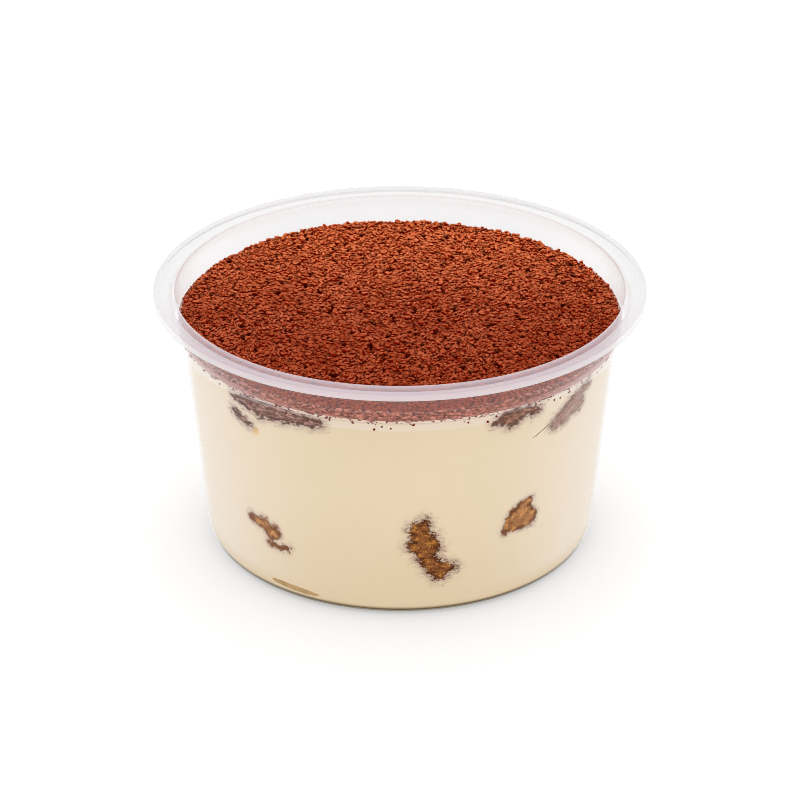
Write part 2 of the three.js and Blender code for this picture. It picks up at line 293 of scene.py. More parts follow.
def ledge_curve(inset, band_inset, lift, steps):
    """The ledge: the radius grows evenly while the height follows t to a high power, so
    it runs flat and then turns up into the band."""
    t = np.linspace(0, 1, steps + 1) ** 0.7
    radius = mix(cone_radius(LEDGE_HEIGHT) - inset, BAND_RADIUS - band_inset, t)
    return np.stack([radius, LEDGE_HEIGHT + lift + LEDGE_RISE * t**LEDGE_SHARPNESS], -1)


def inner_ledge(steps):
    """The ledge as seen from inside, where the plastic is thicker."""
    return ledge_curve(WALL, BAND_WALL, WALL + 0.1, steps)


def cup_profile():
    """The closed outline from the axis along the underside, up the outside, over the
    flange and down the inside to the axis, and the haze of each of its stretches."""
    under = CUP_HEIGHT - FLANGE_THICKNESS
    half_skirt = SKIRT_WALL / 2
    skirt_middle = (RIM_RADIUS - half_skirt, CUP_HEIGHT - SKIRT_DROP + half_skirt)
    fillet = 0.7
    edge = 0.5
    bead = (BEAD_INNER_RADIUS + RIM_RADIUS) / 2
    wall_foot = ledge_curve(0, 0, 0, 1)[0] + (-0.02, -0.3)
    across = np.linspace(0, 1, 9)
    groove_r = mix(BEAD_INNER_RADIUS + edge, BEAD_INNER_RADIUS - edge, across)
    groove_z = CUP_HEIGHT - GROOVE_DEPTH * np.sin(np.pi * across) ** 2
    share = np.linspace(0, 1, 15)
    round_haze = mix(CLEAR, HAZE["wall"], smoothstep(0.68, 1.0, share)[:, None])
    round_haze = mix(HAZE["foot"], round_haze, smoothstep(0.50, 0.68, share)[:, None])
    turn = smoothstep(0.66, 0.95, np.linspace(0, 1, 19))[:, None]
    band_foot = (BAND_RADIUS + 0.04, LEDGE_HEIGHT + LEDGE_RISE + 0.8)
    band_head = (BAND_RADIUS + 0.33, under - 1)
    clearing = smoothstep(0.55, 1.0, np.linspace(0, 1, 12))[:, None]
    lip_foot = (LIP_RADIUS - 0.08, CUP_HEIGHT - 1.4)
    inner_foot = (BAND_RADIUS - BAND_WALL + 0.1, BAND_INNER_TOP)
    inner_head = ledge_curve(WALL, 0, 0, 1)[0]
    stretches = [
        (corner_arc(0, 14), round_haze),
        (np.linspace(corner_arc(0, 1)[-1], wall_foot, 24)[1:], HAZE["wall"]),
        (ledge_curve(0, 0, 0, 18), mix(CLEAR, HAZE["band"], turn)),
        (np.linspace(band_foot, band_head, 12), mix(HAZE["band"], HAZE["flange"], clearing)),
        (arc(BAND_RADIUS + 0.35 + fillet, under - fillet, fillet, 180, 90, 6), HAZE["flange"]),
        (arc(RIM_RADIUS - SKIRT_WALL - 0.2, under - 0.2, 0.2, 90, 0, 4), HAZE["flange"]),
        (arc(*skirt_middle, half_skirt, 180, 360, 8), HAZE["bead"]),
        (arc(RIM_RADIUS - edge, CUP_HEIGHT - edge, edge, 0, 90, 8), HAZE["bead"]),
        (np.array([[bead, CUP_HEIGHT]]), HAZE["bead"]),
        (np.stack([groove_r, groove_z], -1), HAZE["groove"]),
        (arc(LIP_RADIUS + edge, CUP_HEIGHT - edge, edge, 90, 180, 8), HAZE["lip"]),
        (np.linspace(lip_foot, inner_foot, 8), HAZE["inner_band"]),
        (inner_ledge(18)[::-1], mix(CLEAR, HAZE["inner_band"], turn[::-1])),
        (np.linspace(inner_head, corner_arc(WALL, 1)[-1], 24)[1:-1], HAZE["wall"]),
        (corner_arc(WALL, 14)[::-1], np.minimum(round_haze[::-1], HAZE["wall"])),
    ]
    haze = [np.broadcast_to(values, (len(points), 3)) for points, values in stretches]
    return np.vstack([points for points, _ in stretches]), np.concatenate(haze)


outline, outline_haze = cup_profile()
print("the profile has", len(outline), "points, and reaches", outline.max(0).round(2))

# %% [markdown]
# ## The clear cup
#
# The profile is carried round the axis in many steps, so that the wide rim stays round
# against the pale background.

# %% Cup shell
CUP_STEPS = 288
around = np.arange(CUP_STEPS) * 360 / CUP_STEPS


def turned(profile, azimuths):
    """Rows of points: each profile point (r, z) is swept through all azimuths."""
    return polar(azimuths[None, :], profile[:, :1], profile[:, 1:])


cup_shell = closed_rows("cup_shell", [0, 0, 0], turned(outline, around), [0, 0, WALL])
from_front = 180 - np.abs(around - 180)
shell_haze = mix(outline_haze[:, :1], outline_haze[:, 1:2], smoothstep(25, 75, from_front)[None, :])
shell_haze = mix(shell_haze, outline_haze[:, 2:], smoothstep(100, 150, from_front)[None, :]).ravel()
store(cup_shell, "haze", np.concatenate([HAZE["wall"][:1], shell_haze, HAZE["wall"][:1]]))
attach(cup_shell, "root")
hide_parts("cup")
print("cup_shell:", triangles_of(cup_shell), "triangles")

# %% [markdown]
# ## How far the filling reaches
#
# Cream pressed against clear plastic shows no air gap. So the filling's side is made a
# tenth of a millimetre wider than the cup's inner face and reaches just into the wall.

# %% Inner wall
BITE = 0.1  # how far the filling reaches into the plastic
inner_wall = np.vstack([
    corner_arc(WALL, 12),
    inner_ledge(24),
    [[BAND_RADIUS - BAND_WALL + 0.1, BAND_INNER_TOP], [LIP_RADIUS, CUP_HEIGHT]],
])


def wall_radius(z):
    """The radius of the cup's inner face at a height, read off its profile."""
    return np.interp(z, inner_wall[:, 1], inner_wall[:, 0])


print("inner radius at 5, 30 and 55 mm:", wall_radius(np.array([5, 30, 55])).round(2))

# %% [markdown]
# ## Where the sponge fingers lie
#
# A soaked finger runs through the cream from the front wall to the back wall. It is a
# rounded bar: its section changes from the shape that shows at one end, through a fuller
# middle, to the shape at the other end. Each end is an azimuth, a height, and a width, a
# thickness and a tilt. Of each front end only a torn patch shows, for the rest is smeared
# over with cream, so each patch has its own outline. At the back an oval shows.

# %% Finger sizes
FINGERS = {
    "sponge_lower_left": dict(
        seed=11, z=17.5, width=18, thickness=11,
        front=(-39, 17.0, 11.5, 3.4, -38), back=(204, 18.5, 12, 6, 12)),
    "sponge_lower_middle": dict(
        seed=12, z=18.5, width=18, thickness=12,
        front=(8.6, 18.6, 16.5, 7, -62), back=(177, 17, 10, 7, 25)),
    "sponge_lower_right": dict(
        seed=13, z=20, width=17, thickness=11,
        front=(34.7, 22.6, 10, 5, 38), back=(144, 21, 13, 4.5, -20)),
    "sponge_upper_left": dict(
        seed=14, z=47.6, width=23, thickness=9,
        front=(-34.5, 51.0, 24, 3.8, -1), back=(208, 48.2, 18, 4.5, 5)),
    "sponge_upper_middle": dict(
        seed=15, z=48.2, width=14, thickness=8,
        front=(31.8, 50.8, 12, 3.2, 5), back=(152, 49.3, 12, 4, -6)),
    "sponge_upper_right": dict(
        seed=16, z=47.2, width=13, thickness=8,
        front=(51.5, 47.4, 15, 3.4, 27), back=(127, 46.2, 12, 4, -8)),
}

# %% Patches of crumb
# Where crumb shows at the front wall: closed outlines of (azimuth, height).
PATCHES = {
    "sponge_lower_left": [
        [(-47.6, 19.7), (-45.4, 20.2), (-43.1, 19.6), (-41.8, 20.6), (-40.4, 20.3), (-39, 19.3),
         (-36.8, 19.4), (-35.9, 18), (-36.8, 16.3), (-39.1, 15.7), (-41.2, 16.9), (-42.6, 17.9),
         (-44.9, 18.2), (-47.3, 19)],
        [(-40.8, 14.3), (-38.5, 14.4), (-35.6, 14.5), (-32.8, 14.7), (-33.2, 14), (-35.7, 13.6),
         (-38.6, 13.6)]],
    "sponge_lower_middle": [
        [(5, 26.1), (7.1, 26.9), (7.4, 25.2), (9.1, 22), (10.8, 19.6), (10.9, 18.2), (9.8, 17.2),
         (11.3, 14.8), (15.6, 12.9), (12.5, 11), (11.7, 10.3), (9.7, 10.7), (7.9, 12.6),
         (5.4, 15.8), (4, 18.7), (2.3, 19), (2.6, 20.4), (3.9, 20.9), (2.8, 24.3), (3.6, 25.6)]],
    "sponge_lower_right": [
        [(39.1, 27), (38.6, 25.5), (40.9, 21.8), (40.4, 20.3), (38.6, 19.7), (36.1, 19.6),
         (32, 19.9), (30.4, 19.5), (29.7, 20), (31, 23.2), (31.9, 24.7), (35, 26.6), (37, 27.1)]],
    "sponge_upper_left": [
        [(-49.4, 51.5), (-45.2, 52.7), (-41.5, 53.1), (-38.8, 52.9), (-37.5, 52.3), (-35.4, 53.5),
         (-32.3, 53.5), (-30, 53), (-28.3, 52.4), (-26, 52.4), (-23.2, 52.4), (-20.7, 51.8),
         (-20.5, 50.8), (-24.4, 50.1), (-26.7, 50.4), (-29.6, 50), (-32.7, 49.5), (-35.2, 49.6),
         (-37.2, 49.8), (-39.3, 48.6), (-41.2, 49.9), (-43.8, 49.9), (-46.3, 50.7)],
        [(-49.7, 47.6), (-47.6, 47.5), (-45, 46.6), (-42.7, 45.6), (-43.5, 45.1), (-46.4, 45.7),
         (-49.1, 46.6)]],
    "sponge_upper_middle": [
        [(25, 50.5), (27.7, 52.3), (29.4, 52.7), (30.1, 54.2), (31.1, 54.2), (31.8, 52.6),
         (34, 52.9), (35.9, 52.3), (38.9, 51.7), (39, 50.9), (36.4, 50.3), (35.1, 51.2), (33, 50.2),
         (31.5, 49.2), (29.7, 48.9), (26.4, 50.4)]],
    "sponge_upper_right": [
        [(59.3, 51.7), (53.5, 50.5), (51, 49.6), (46.8, 47.4), (43.3, 45.3), (44.6, 44),
         (47.7, 44.3), (50.2, 44.5), (52.2, 45.6), (56.1, 45.5), (57.4, 46.6), (56.7, 49.2),
         (60.2, 50.5)]],
}
# How far each patch is torn at its edge, how dark with coffee it is, and how much of it
# shows through the smear of cream.
PATCH_LOOKS = {
    "sponge_lower_left": (0.6, 0.05, 1.0),
    "sponge_lower_middle": (0.95, 0.5, 1.0),
    "sponge_lower_right": (0.5, 0.15, 1.0),
    "sponge_upper_left": (0.8, 1.0, 0.9),
    "sponge_upper_middle": (0.8, 0.8, 0.9),
    "sponge_upper_right": (0.7, 0.9, 0.47),
}
BACK_LOOK = (0.8, 0.3, 1.0)
print("fingers:", len(FINGERS), "outlines:", sum(len(outlines) for outlines in PATCHES.values()))

# %% Finger shape
SECTION_POWER = 0.75  # below 1 the round section gets fuller corners
OVERSHOOT = 4  # the bar is drawn past the wall and then pressed back to it


def finger_frame(finger):
    """The two end points, and the level direction across the finger, to the right."""
    start, stop = [
        polar(azimuth, wall_radius(z) + OVERSHOOT, z)
        for azimuth, z, *_ in (finger["front"], finger["back"])]
    along = stop - start
    across = np.array([-along[1], along[0], 0.0])
    across = across / np.linalg.norm(across) * (1 if across[0] >= 0 else -1)
    return start, stop, across


def finger_section(finger, t):
    """Width, thickness, tilt, centre height at a share t of the length: the end's values
    blend into the middle's by smoothstep."""
    full = smoothstep(0.07, 0.3, np.minimum(t, 1 - t))
    front = np.array(finger["front"], float)
    back = np.array(finger["back"], float)
    end = np.where(np.asarray(t)[..., None] < 0.5, front, back)
    straight = mix(front[1], back[1], t)
    width = mix(end[..., 2], finger["width"], full)
    thickness = mix(end[..., 3], finger["thickness"], full)
    tilt = mix(end[..., 4], 0, full) * DEGREE
    return width, thickness, tilt, mix(straight, finger["z"], full)


# %% Depth inside an outline
WALL_ARC = 50.5 * DEGREE  # mm along the wall for each degree


def outline_depth(points, outline, lowest=-180):
    """How deep wall points lie inside a closed outline of (azimuth, height), or outside
    it if negative: the distance to the nearest edge, signed by counting crossed edges.
    Azimuths are counted up from the lowest one, so no outline may cross it."""
    azimuth = (azimuth_of(points) - lowest) % 360 + lowest
    flat = np.stack([azimuth * WALL_ARC, points[..., 2]], -1)
    corners = np.array(outline, float) * (WALL_ARC, 1)
    nearest = np.full(flat.shape[:-1], np.inf)
    inside = np.zeros(flat.shape[:-1], bool)
    for corner, edge in zip(corners, np.roll(corners, -1, 0) - corners):
        away = flat - corner
        share = np.clip(away @ edge / (edge @ edge), 0, 1)
        nearest = np.minimum(nearest, np.linalg.norm(away - share[..., None] * edge, axis=-1))
        level_with = (away[..., 1] < 0) != (away[..., 1] < edge[1])
        left_of = away[..., 0] * abs(edge[1]) < away[..., 1] * edge[0] * np.sign(edge[1])
        inside ^= level_with & left_of
    return np.where(inside, nearest, -nearest)


def back_outline(finger):
    """Where the far end of a finger meets the wall: an oval about the finger's axis, as
    wide as its slanting cut, with its edge waved by two cosines."""
    start, stop, _ = finger_frame(finger)
    along = (stop - start)[:2] / np.linalg.norm((stop - start)[:2])
    slant = along @ stop[:2] / np.linalg.norm(stop[:2])
    middle = azimuth_of(np.append(stop[:2] - along * OVERSHOOT / slant, 0)) % 360
    _, height, width, thickness, tilt = finger["back"]
    turn = np.linspace(0, 2 * np.pi, 36, endpoint=False)
    seed = finger["seed"]
    wave = 0.92 + 0.13 * np.cos(3 * turn + seed) + 0.07 * np.cos(7 * turn + 2 * seed)
    flat = wave * np.cos(turn) * width / 2 / slant
    tall = wave * np.sin(turn) * thickness / 2
    cos = np.cos(tilt * DEGREE)
    sin = np.sin(tilt * DEGREE)
    side = flat * cos - tall * sin
    return np.stack([middle + side / WALL_ARC, height + flat * sin + tall * cos], -1)


def patch_numbers(points, name):
    """How deep points lie inside the crumb that a finger shows at the wall, and its look:
    by the torn outlines at the front, and by an oval at the back."""
    front = np.max([outline_depth(points, outline) for outline in PATCHES[name]], axis=0)
    back = outline_depth(points, back_outline(FINGERS[name]), 0)
    look = [np.where(back > front, far, near) for far, near in zip(BACK_LOOK, PATCH_LOOKS[name])]
    return np.stack([np.maximum(front, back), *look], -1)


NUMBER_NAMES = ("depth", "ragged", "dark", "cover")
FAR_OUTSIDE = (-9.0, 0.5, 0.5, 1.0)


def store_numbers(piece, numbers, before, after):
    """Keeps the four numbers of a patch for the points of a piece; the first and the last
    points, which don't lie on the wall, count as far outside."""
    ends = [np.tile(FAR_OUTSIDE, (count, 1)) for count in (before, after)]
    every = np.concatenate([ends[0], numbers.reshape(-1, 4), ends[1]])
    for column, label in enumerate(NUMBER_NAMES):
        store(piece, label, every[:, column])


lower_left = back_outline(FINGERS["sponge_lower_left"])
print("far end of the lower left finger, azimuths:", lower_left[:, 0].min(), lower_left[:, 0].max())

# %% [markdown]
# ## Sponge fingers
#
# A soaked finger is crumb: porous, torn at the edges, golden where the coffee is thin
# and dark where it has gathered. A plain bar with a crumb picture would show a clean
# edge at the wall. Here the bar is swept from the front wall to the back wall on a fine
# grid, and its ends are pressed flat against the wall. A thin smear of cream covers the
# end except where crumb shows. How deep a point lies inside that patch is kept on the
# points, of the crumb and of the cream alike, and one finish tears the edge for both.

# %% Sweep the fingers
FINGER_COLUMNS = 120
CAP_ROWS = 40
BODY_ROWS = 40
END_GROWTH = 1.3  # the pressed end is larger than the section, so that it fills its patch
CRUMB_RISE = 0.03  # how far crumb stands out of the cream, into the plastic
CRUMB_SINK = 1.2  # and how far it sinks behind it, away from the patch


def press_to_wall(points, reach):
    """Moves points that lie past the wall straight back to it; reach is added to the
    inner face's radius. Also says which points were moved."""
    radius = np.hypot(points[..., 0], points[..., 1])
    limit = wall_radius(points[..., 2]) + reach
    share = np.where(radius > limit, limit / radius, 1.0)
    pressed = points.copy()
    pressed[..., :2] *= share[..., None]
    return pressed, radius > limit


def fuller(wave):
    """A sine or cosine, raised to the section's power with its sign kept."""
    return np.sign(wave) * np.abs(wave) ** SECTION_POWER


def finger_points(finger):
    """Rows round the bar. A row is the section at a share t of the length, scaled by k,
    which grows from 0 over the front cap and falls back over the back cap."""
    start, stop, across = finger_frame(finger)
    cap = np.linspace(0.03, 1, CAP_ROWS)
    inner = np.linspace(0, 1, BODY_ROWS)[1:-1]
    t = np.concatenate([np.zeros(CAP_ROWS), inner, np.ones(CAP_ROWS)])
    body = 1 + (END_GROWTH - 1) * (1 - smoothstep(0, 0.12, inner))
    k = np.concatenate([cap * END_GROWTH, body, cap[::-1]])
    width, thickness, tilt, height = finger_section(finger, t)
    angle = np.arange(FINGER_COLUMNS) * 2 * np.pi / FINGER_COLUMNS
    x = fuller(np.cos(angle))[None, :] * (k * width / 2)[:, None]
    z = fuller(np.sin(angle))[None, :] * (k * thickness / 2)[:, None]
    cos = np.cos(tilt)[:, None]
    sin = np.sin(tilt)[:, None]
    centre = start + t[:, None] * (stop - start)
    centre[:, 2] = height
    side = x * cos - z * sin
    rise = x * sin + z * cos
    return centre[:, None, :] + side[..., None] * across + rise[..., None] * np.array([0, 0, 1.0])


# %% Sponge pieces
def signed_volume(piece):
    """The volume inside a closed mesh, in cubic millimetres; negative if inside out."""
    mesh = piece.data
    mesh.calc_loop_triangles()
    corners = np.zeros(len(mesh.loop_triangles) * 3, np.int32)
    mesh.loop_triangles.foreach_get("vertices", corners)
    places = np.zeros(len(mesh.vertices) * 3)
    mesh.vertices.foreach_get("co", places)
    a, b, c = places.reshape(-1, 3)[corners.reshape(-1, 3)].transpose(1, 0, 2) / MM
    return float(np.einsum("ij,ij->i", a, np.cross(b, c)).sum() / 6)


def measure(piece):
    """Prints what a piece has come to."""
    print(piece.name + ":", triangles_of(piece), "triangles,", round(signed_volume(piece)), "mm3")


def capped(name, rows):
    """A closed piece whose poles are the middles of its first and its last row, with its
    faces turned outwards."""
    piece = closed_rows(name, rows[0].mean(0), rows, rows[-1].mean(0))
    if signed_volume(piece) < 0:
        piece.data.flip_normals()
    return piece


def make_sponge(name, finger):
    """A finger with its ends pressed to the wall and its crumb worked into the face."""
    points = finger_points(finger)
    middle = points.mean(axis=1, keepdims=True)
    bumps = layered_noise(points, 4.0, finger["seed"], 4)
    points = middle + (points - middle) * (1 + 0.10 * bumps)[..., None]
    pressed, touching = press_to_wall(points, BITE)
    numbers = patch_numbers(pressed, name)
    lift = mix(-CRUMB_SINK, CRUMB_RISE, smoothstep(-3, -1.6, numbers[..., 0]))
    radius = np.hypot(pressed[..., 0], pressed[..., 1])
    pressed[..., :2] *= (1 + np.where(touching, lift, 0) / radius)[..., None]
    piece = capped(name + "_crumb", pressed)
    numbers = numbers.reshape(-1, 4)
    store_numbers(piece, np.vstack([numbers[:1], numbers, numbers[-1:]]), 0, 0)
    return piece


sponges = {}
for name, finger in FINGERS.items():
    sponges[name] = make_sponge(name, finger)
    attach(sponges[name], "root")
    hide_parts(name)
    measure(sponges[name])

# %% [markdown]
# ## A flat crumb in the corner
#
# One thin scrap of sponge has slid into the round of the base. It is an ellipsoid whose
# surface is pushed in and out by noise and whose outer side is pressed to the wall.

# %% Corner crumb
SCRAP = dict(azimuth=-32.5, z=3.7, length=14, height=1.8, depth=3.2, tilt=3, seed=31)
scrap_u = np.linspace(0.04, np.pi - 0.04, 60)[:, None]
scrap_v = (np.arange(90) * 2 * np.pi / 90)[None, :]
scrap_ball = np.stack([
    -np.cos(scrap_u) * np.ones_like(scrap_v),
    np.sin(scrap_u) * np.cos(scrap_v),
    np.sin(scrap_u) * np.sin(scrap_v),
], -1) / 2 * (SCRAP["length"], SCRAP["depth"], SCRAP["height"])
scrap_ball *= (1 + 0.12 * layered_noise(scrap_ball, 1.6, SCRAP["seed"], 3))[..., None]


def turned_by(points, degrees, first, second):
    """Turns points in the plane of two axes: a' = a cos + b sin, b' = b cos - a sin."""
    cos = np.cos(degrees * DEGREE)
    sin = np.sin(degrees * DEGREE)
    out = points.copy()
    out[..., first] = points[..., first] * cos + points[..., second] * sin
    out[..., second] = points[..., second] * cos - points[..., first] * sin
    return out


scrap_points = turned_by(turned_by(scrap_ball, SCRAP["tilt"], 0, 2), -SCRAP["azimuth"], 0, 1)
scrap_radius = wall_radius(SCRAP["z"]) - SCRAP["depth"] / 4
scrap_points = scrap_points + polar(SCRAP["azimuth"], scrap_radius, SCRAP["z"])
scrap_points, _ = press_to_wall(scrap_points, BITE + 0.03)
corner_crumb = capped("corner_crumb", scrap_points)
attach(corner_crumb, "root")
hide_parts("sponge_crumb")
measure(corner_crumb)

# %% [markdown]
# ## The cream
#
# The cream has set against the cup, so its side copies the wall on a fine grid. Round
# each patch of crumb it is stained and specked with coffee, so the distance from the
# nearest patch is kept on every point. The finish turns it into specks much finer than
# the grid.

# %% Seam between the two creams
SEAM_HEIGHT = 51.1
FOLD_HEIGHT = 43.4
FOLD_AZIMUTH = 36.5
FOLD_RISE = 0.37
SEAM_LAP = 0.3  # the lower cream runs on behind the upper one
CRACK_GAP = 0.2  # the seam stands open only along the fold's long side


def seam_at_wall(azimuth):
    """A nearly level line that drops into one fold on the right of the front and climbs
    slowly back: the lower of a gentle wave and a slanting line past the fold."""
    past = (azimuth - FOLD_AZIMUTH + 540) % 360 - 180
    line = np.minimum(FOLD_HEIGHT + FOLD_RISE * np.maximum(0, past), SEAM_HEIGHT)
    folded = mix(SEAM_HEIGHT, line, smoothstep(-9, 0, past))
    return np.minimum(folded, SEAM_HEIGHT + 0.2 * np.sin(3 * azimuth * DEGREE + 1))


def crack_at(azimuth):
    """1 along the crack past the fold's tip, and 0 where the seam is closed."""
    past = (azimuth - FOLD_AZIMUTH + 540) % 360 - 180
    return smoothstep(0.1, 1.4, past) * (1 - smoothstep(15, 21, past))


CREAM_COLUMNS = 576
cream_azimuth = np.arange(CREAM_COLUMNS) * 360 / CREAM_COLUMNS


def wall_rows(bottom, top, count):
    """Rows of points on the wall, just into the plastic, evenly spaced from a bottom to a
    top, which are heights at every azimuth. The second and the last but one stay close to
    the edges, so that shading turns over there in a very narrow strip."""
    share = np.linspace(0, 1, count)[:, None]
    share[1] = share[1] * 0.15
    share[-2] = 1 - (1 - share[-2]) * 0.15
    height = mix(bottom, top, share)
    return polar(cream_azimuth[None, :], wall_radius(height) + BITE, height)


def wall_numbers(points):
    """The numbers of the patch that each wall point is deepest in, or nearest to."""
    every = np.array([patch_numbers(points, name) for name in FINGERS])
    best = every[..., 0].argmax(axis=0)
    return np.take_along_axis(every, best[None, ..., None], axis=0)[0]


DROP_PLACE = (-41.3, 44.5)  # a drop of golden syrup, as azimuth and height
DROP_RADIUS = 0.9


def drop_of(points):
    """1 in the middle of the syrup drop, falling off as exp(-(distance / radius) ** 2)."""
    s = (azimuth_of(points) - DROP_PLACE[0]) * WALL_ARC
    z = points[..., 2] - DROP_PLACE[1]
    return np.exp(-(s**2 + z**2) / DROP_RADIUS**2)


def disc_rows(radii, height):
    """Flat rows of points at given radii and a height for each."""
    return polar(cream_azimuth[None, :], np.array(radii)[:, None], np.array(height)[:, None])


# %% Cream body
BODY_WALL_ROWS = 106
# The dark edge of the foot is painted shade, a painted contact shadow seen through the plastic.
FOOT_BITE = 0.35  # the foot reaches further into the plastic, and darkens its edge
CREAM_FLOOR = WALL - FOOT_BITE
LAP_INSET = 0.0008  # the share by which the lap behind the upper cream stands further in
foot_share = smoothstep(0, 0.8, np.linspace(0, 1, 11))[:, None]
foot_curve = mix(corner_arc(WALL - FOOT_BITE, 10), corner_arc(WALL - BITE, 10), foot_share)
low_rows = turned(foot_curve, cream_azimuth)
seam = seam_at_wall(cream_azimuth)
brim = seam + mix(SEAM_LAP, -CRACK_GAP, crack_at(cream_azimuth))
side_rows = wall_rows(CORNER_RADIUS + 0.2, brim, BODY_WALL_ROWS)
behind = side_rows[..., 2] > seam - 0.05
side_rows[..., :2] *= np.where(behind, 1 - LAP_INSET, 1)[..., None]
BODY_TOP = SEAM_HEIGHT - 0.2
top_rows = disc_rows([49.5, 44, 30, 12], [49.5, 50.6, BODY_TOP, BODY_TOP])
top_rows[0, :, 2] = np.minimum(top_rows[0, :, 2], side_rows[-1, :, 2])
floor_rows = disc_rows([10, 28, 40], [CREAM_FLOOR] * 3)
body_rows = np.concatenate([floor_rows, low_rows, side_rows, top_rows])
cream_body = closed_rows("cream_body", [0, 0, CREAM_FLOOR], body_rows, [0, 0, BODY_TOP])


def fill_numbers(piece, rows, wall_part, crack):
    """Keeps the patch numbers, the syrup drop and the crack's painted shade on a filling: rows
    are all its rows, wall_part picks those on the wall, crack is the painted shade of every
    row."""
    first, last = wall_part
    before = first * rows.shape[1] + 1
    after = (len(rows) - last) * rows.shape[1] + 1
    store_numbers(piece, wall_numbers(rows[first:last]), before, after)
    store(piece, "syrup", np.concatenate([[0], drop_of(rows).ravel(), [0]]))
    shade = crack[:, None] * crack_at(cream_azimuth)[None, :]
    store(piece, "crack", np.concatenate([[0], shade.ravel(), [0]]))


body_first = len(floor_rows) + len(low_rows)
body_part = (body_first, body_first + BODY_WALL_ROWS)
# The last wall row and the top rows take the crack's painted shade.
body_crack_shade = (np.arange(len(body_rows)) >= body_part[1] - 1).astype(float)
fill_numbers(cream_body, body_rows, body_part, body_crack_shade)
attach(cream_body, "root")
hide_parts("cream_base")
measure(cream_body)

# %% [markdown]
# ## The lighter cream on top
#
# A second, softer cream was spread over the fingers. It fills the ledge and meets the
# cream below in a soft seam, and the cocoa lies on it.

# %% Cream layer
COCOA_BOTTOM = 54.45
COCOA_SLANT = 0.25


def cocoa_underside(azimuth):
    """The powder reaches a little lower on the right: h = bottom - slant * sin(azimuth)."""
    return COCOA_BOTTOM - COCOA_SLANT * np.sin(azimuth * DEGREE)


layer_side = wall_rows(seam, cocoa_underside(cream_azimuth) + 0.1, 40)
layer_under = disc_rows([12, 30, 44, 49.5], [SEAM_HEIGHT, SEAM_HEIGHT, 50.7, 49.8])
layer_under[-1, :, 2] = np.minimum(layer_under[-1, :, 2], layer_side[0, :, 2] + 0.3)
layer_top = disc_rows([48, 30, 12], [COCOA_BOTTOM] * 3)
layer_rows = np.concatenate([layer_under, layer_side, layer_top])
cream_layer = closed_rows("cream_layer", [0, 0, SEAM_HEIGHT], layer_rows, [0, 0, COCOA_BOTTOM])
layer_part = (len(layer_under), len(layer_under) + len(layer_side))
# The under rows take the crack's painted shade.
layer_crack_shade = (np.arange(len(layer_rows)) < layer_part[0]).astype(float)
fill_numbers(cream_layer, layer_rows, layer_part, layer_crack_shade)
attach(cream_layer, "root")
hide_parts("cream_top")
measure(cream_layer)

# %% [markdown]
# ## The cocoa bed
#
# Sifted cocoa draws moisture from the cream and gathers into clumps about a millimetre
# wide, with dark gaps between them and a few larger holes. A flat disc with a bump
# texture would stay flat at its edge, where it matters most. So the bed is real relief:
# rounded lumps of two sizes from cellular noise, less the holes. The disc's grid is a
# square grid bent into a circle, which keeps all its cells about the same size.

# %% Relief of the powder
COCOA_TOP = 57.0
BED_STEPS = 292
BED_RADIUS = 51.9
CLUMP = 1.15  # mm across
CLUMP_RISE = 0.62
FINE_CLUMP = 0.62
FINE_RISE = 0.30
RELIEF_TOP = 0.92
HOLE_SPACING = 5.2
HOLE_DEPTH = 0.85
SWELL = 0.28
BED_DROP = 0.45  # the mean top lies this far under COCOA_TOP, so that lumps stay near it


def at_front(flat):
    """1 on the front of the bed, 0 on its sides and back: smoothstep of -y / radius."""
    return smoothstep(0.0, 0.5, -flat[..., 1] / np.maximum(np.hypot(flat[..., 0], flat[..., 1]), 1))


def lumps(flat, size, seed):
    """Rounded lumps: 1 - d * d, where d is the distance from the nearest centre over 0.8."""
    return 1 - np.minimum(nearest_centre(flat, size, seed) / 0.8, 1) ** 2


def bed_height(flat):
    """Height of the powder at a point: a slow swell and two sizes of rounded lumps, less
    round holes, less a roll-off at the edge. Also says how open each point is."""
    space = np.concatenate([flat, np.zeros(flat.shape[:-1] + (1,))], -1)
    warp = np.stack([value_noise(space, 1.7, 201), value_noise(space, 1.7, 202)], -1)
    bent = flat + 0.28 * warp
    swell = SWELL * layered_noise(space, 16, 203, 2)
    hole_distance = nearest_centre(bent, HOLE_SPACING, 208) * HOLE_SPACING
    radius = np.hypot(flat[..., 0], flat[..., 1])
    calm = smoothstep(47.5, 49.5, radius) * at_front(flat)
    hole = (1 - smoothstep(0.35, 1.15, hole_distance)) * (1 - calm)
    roll = (0.2 + 0.3 * at_front(flat)) * smoothstep(50.6, 52.4, radius)
    relief = CLUMP_RISE * lumps(bent, CLUMP, 204) * (1 - 0.55 * calm)
    relief = relief + FINE_RISE * lumps(bent, FINE_CLUMP, 206) * (1 + 0.6 * calm)
    # The cavity number is low in the gaps and holes; the cocoa finish paints shade there.
    cavity = mix(relief * (1 - hole) / RELIEF_TOP, 1, 0.25 * calm)
    return COCOA_TOP - BED_DROP + swell + relief - HOLE_DEPTH * hole - roll, cavity


def disc_grid(steps, radius):
    """A square grid bent into a disc: the larger of |a| and |b| becomes the radius, and
    their ratio, times 45 degrees, the angle inside each quarter."""
    line = np.linspace(-1, 1, steps)
    a, b = np.meshgrid(line, line, indexing="ij")
    wide = np.abs(a) >= np.abs(b)
    outer = np.where(wide, a, b)
    safe = np.where(outer == 0, 1, outer)
    angle = np.where(wide, np.pi / 4 * b / safe, np.pi / 2 - np.pi / 4 * a / safe)
    return np.stack([radius * outer * np.cos(angle), radius * outer * np.sin(angle)], -1)


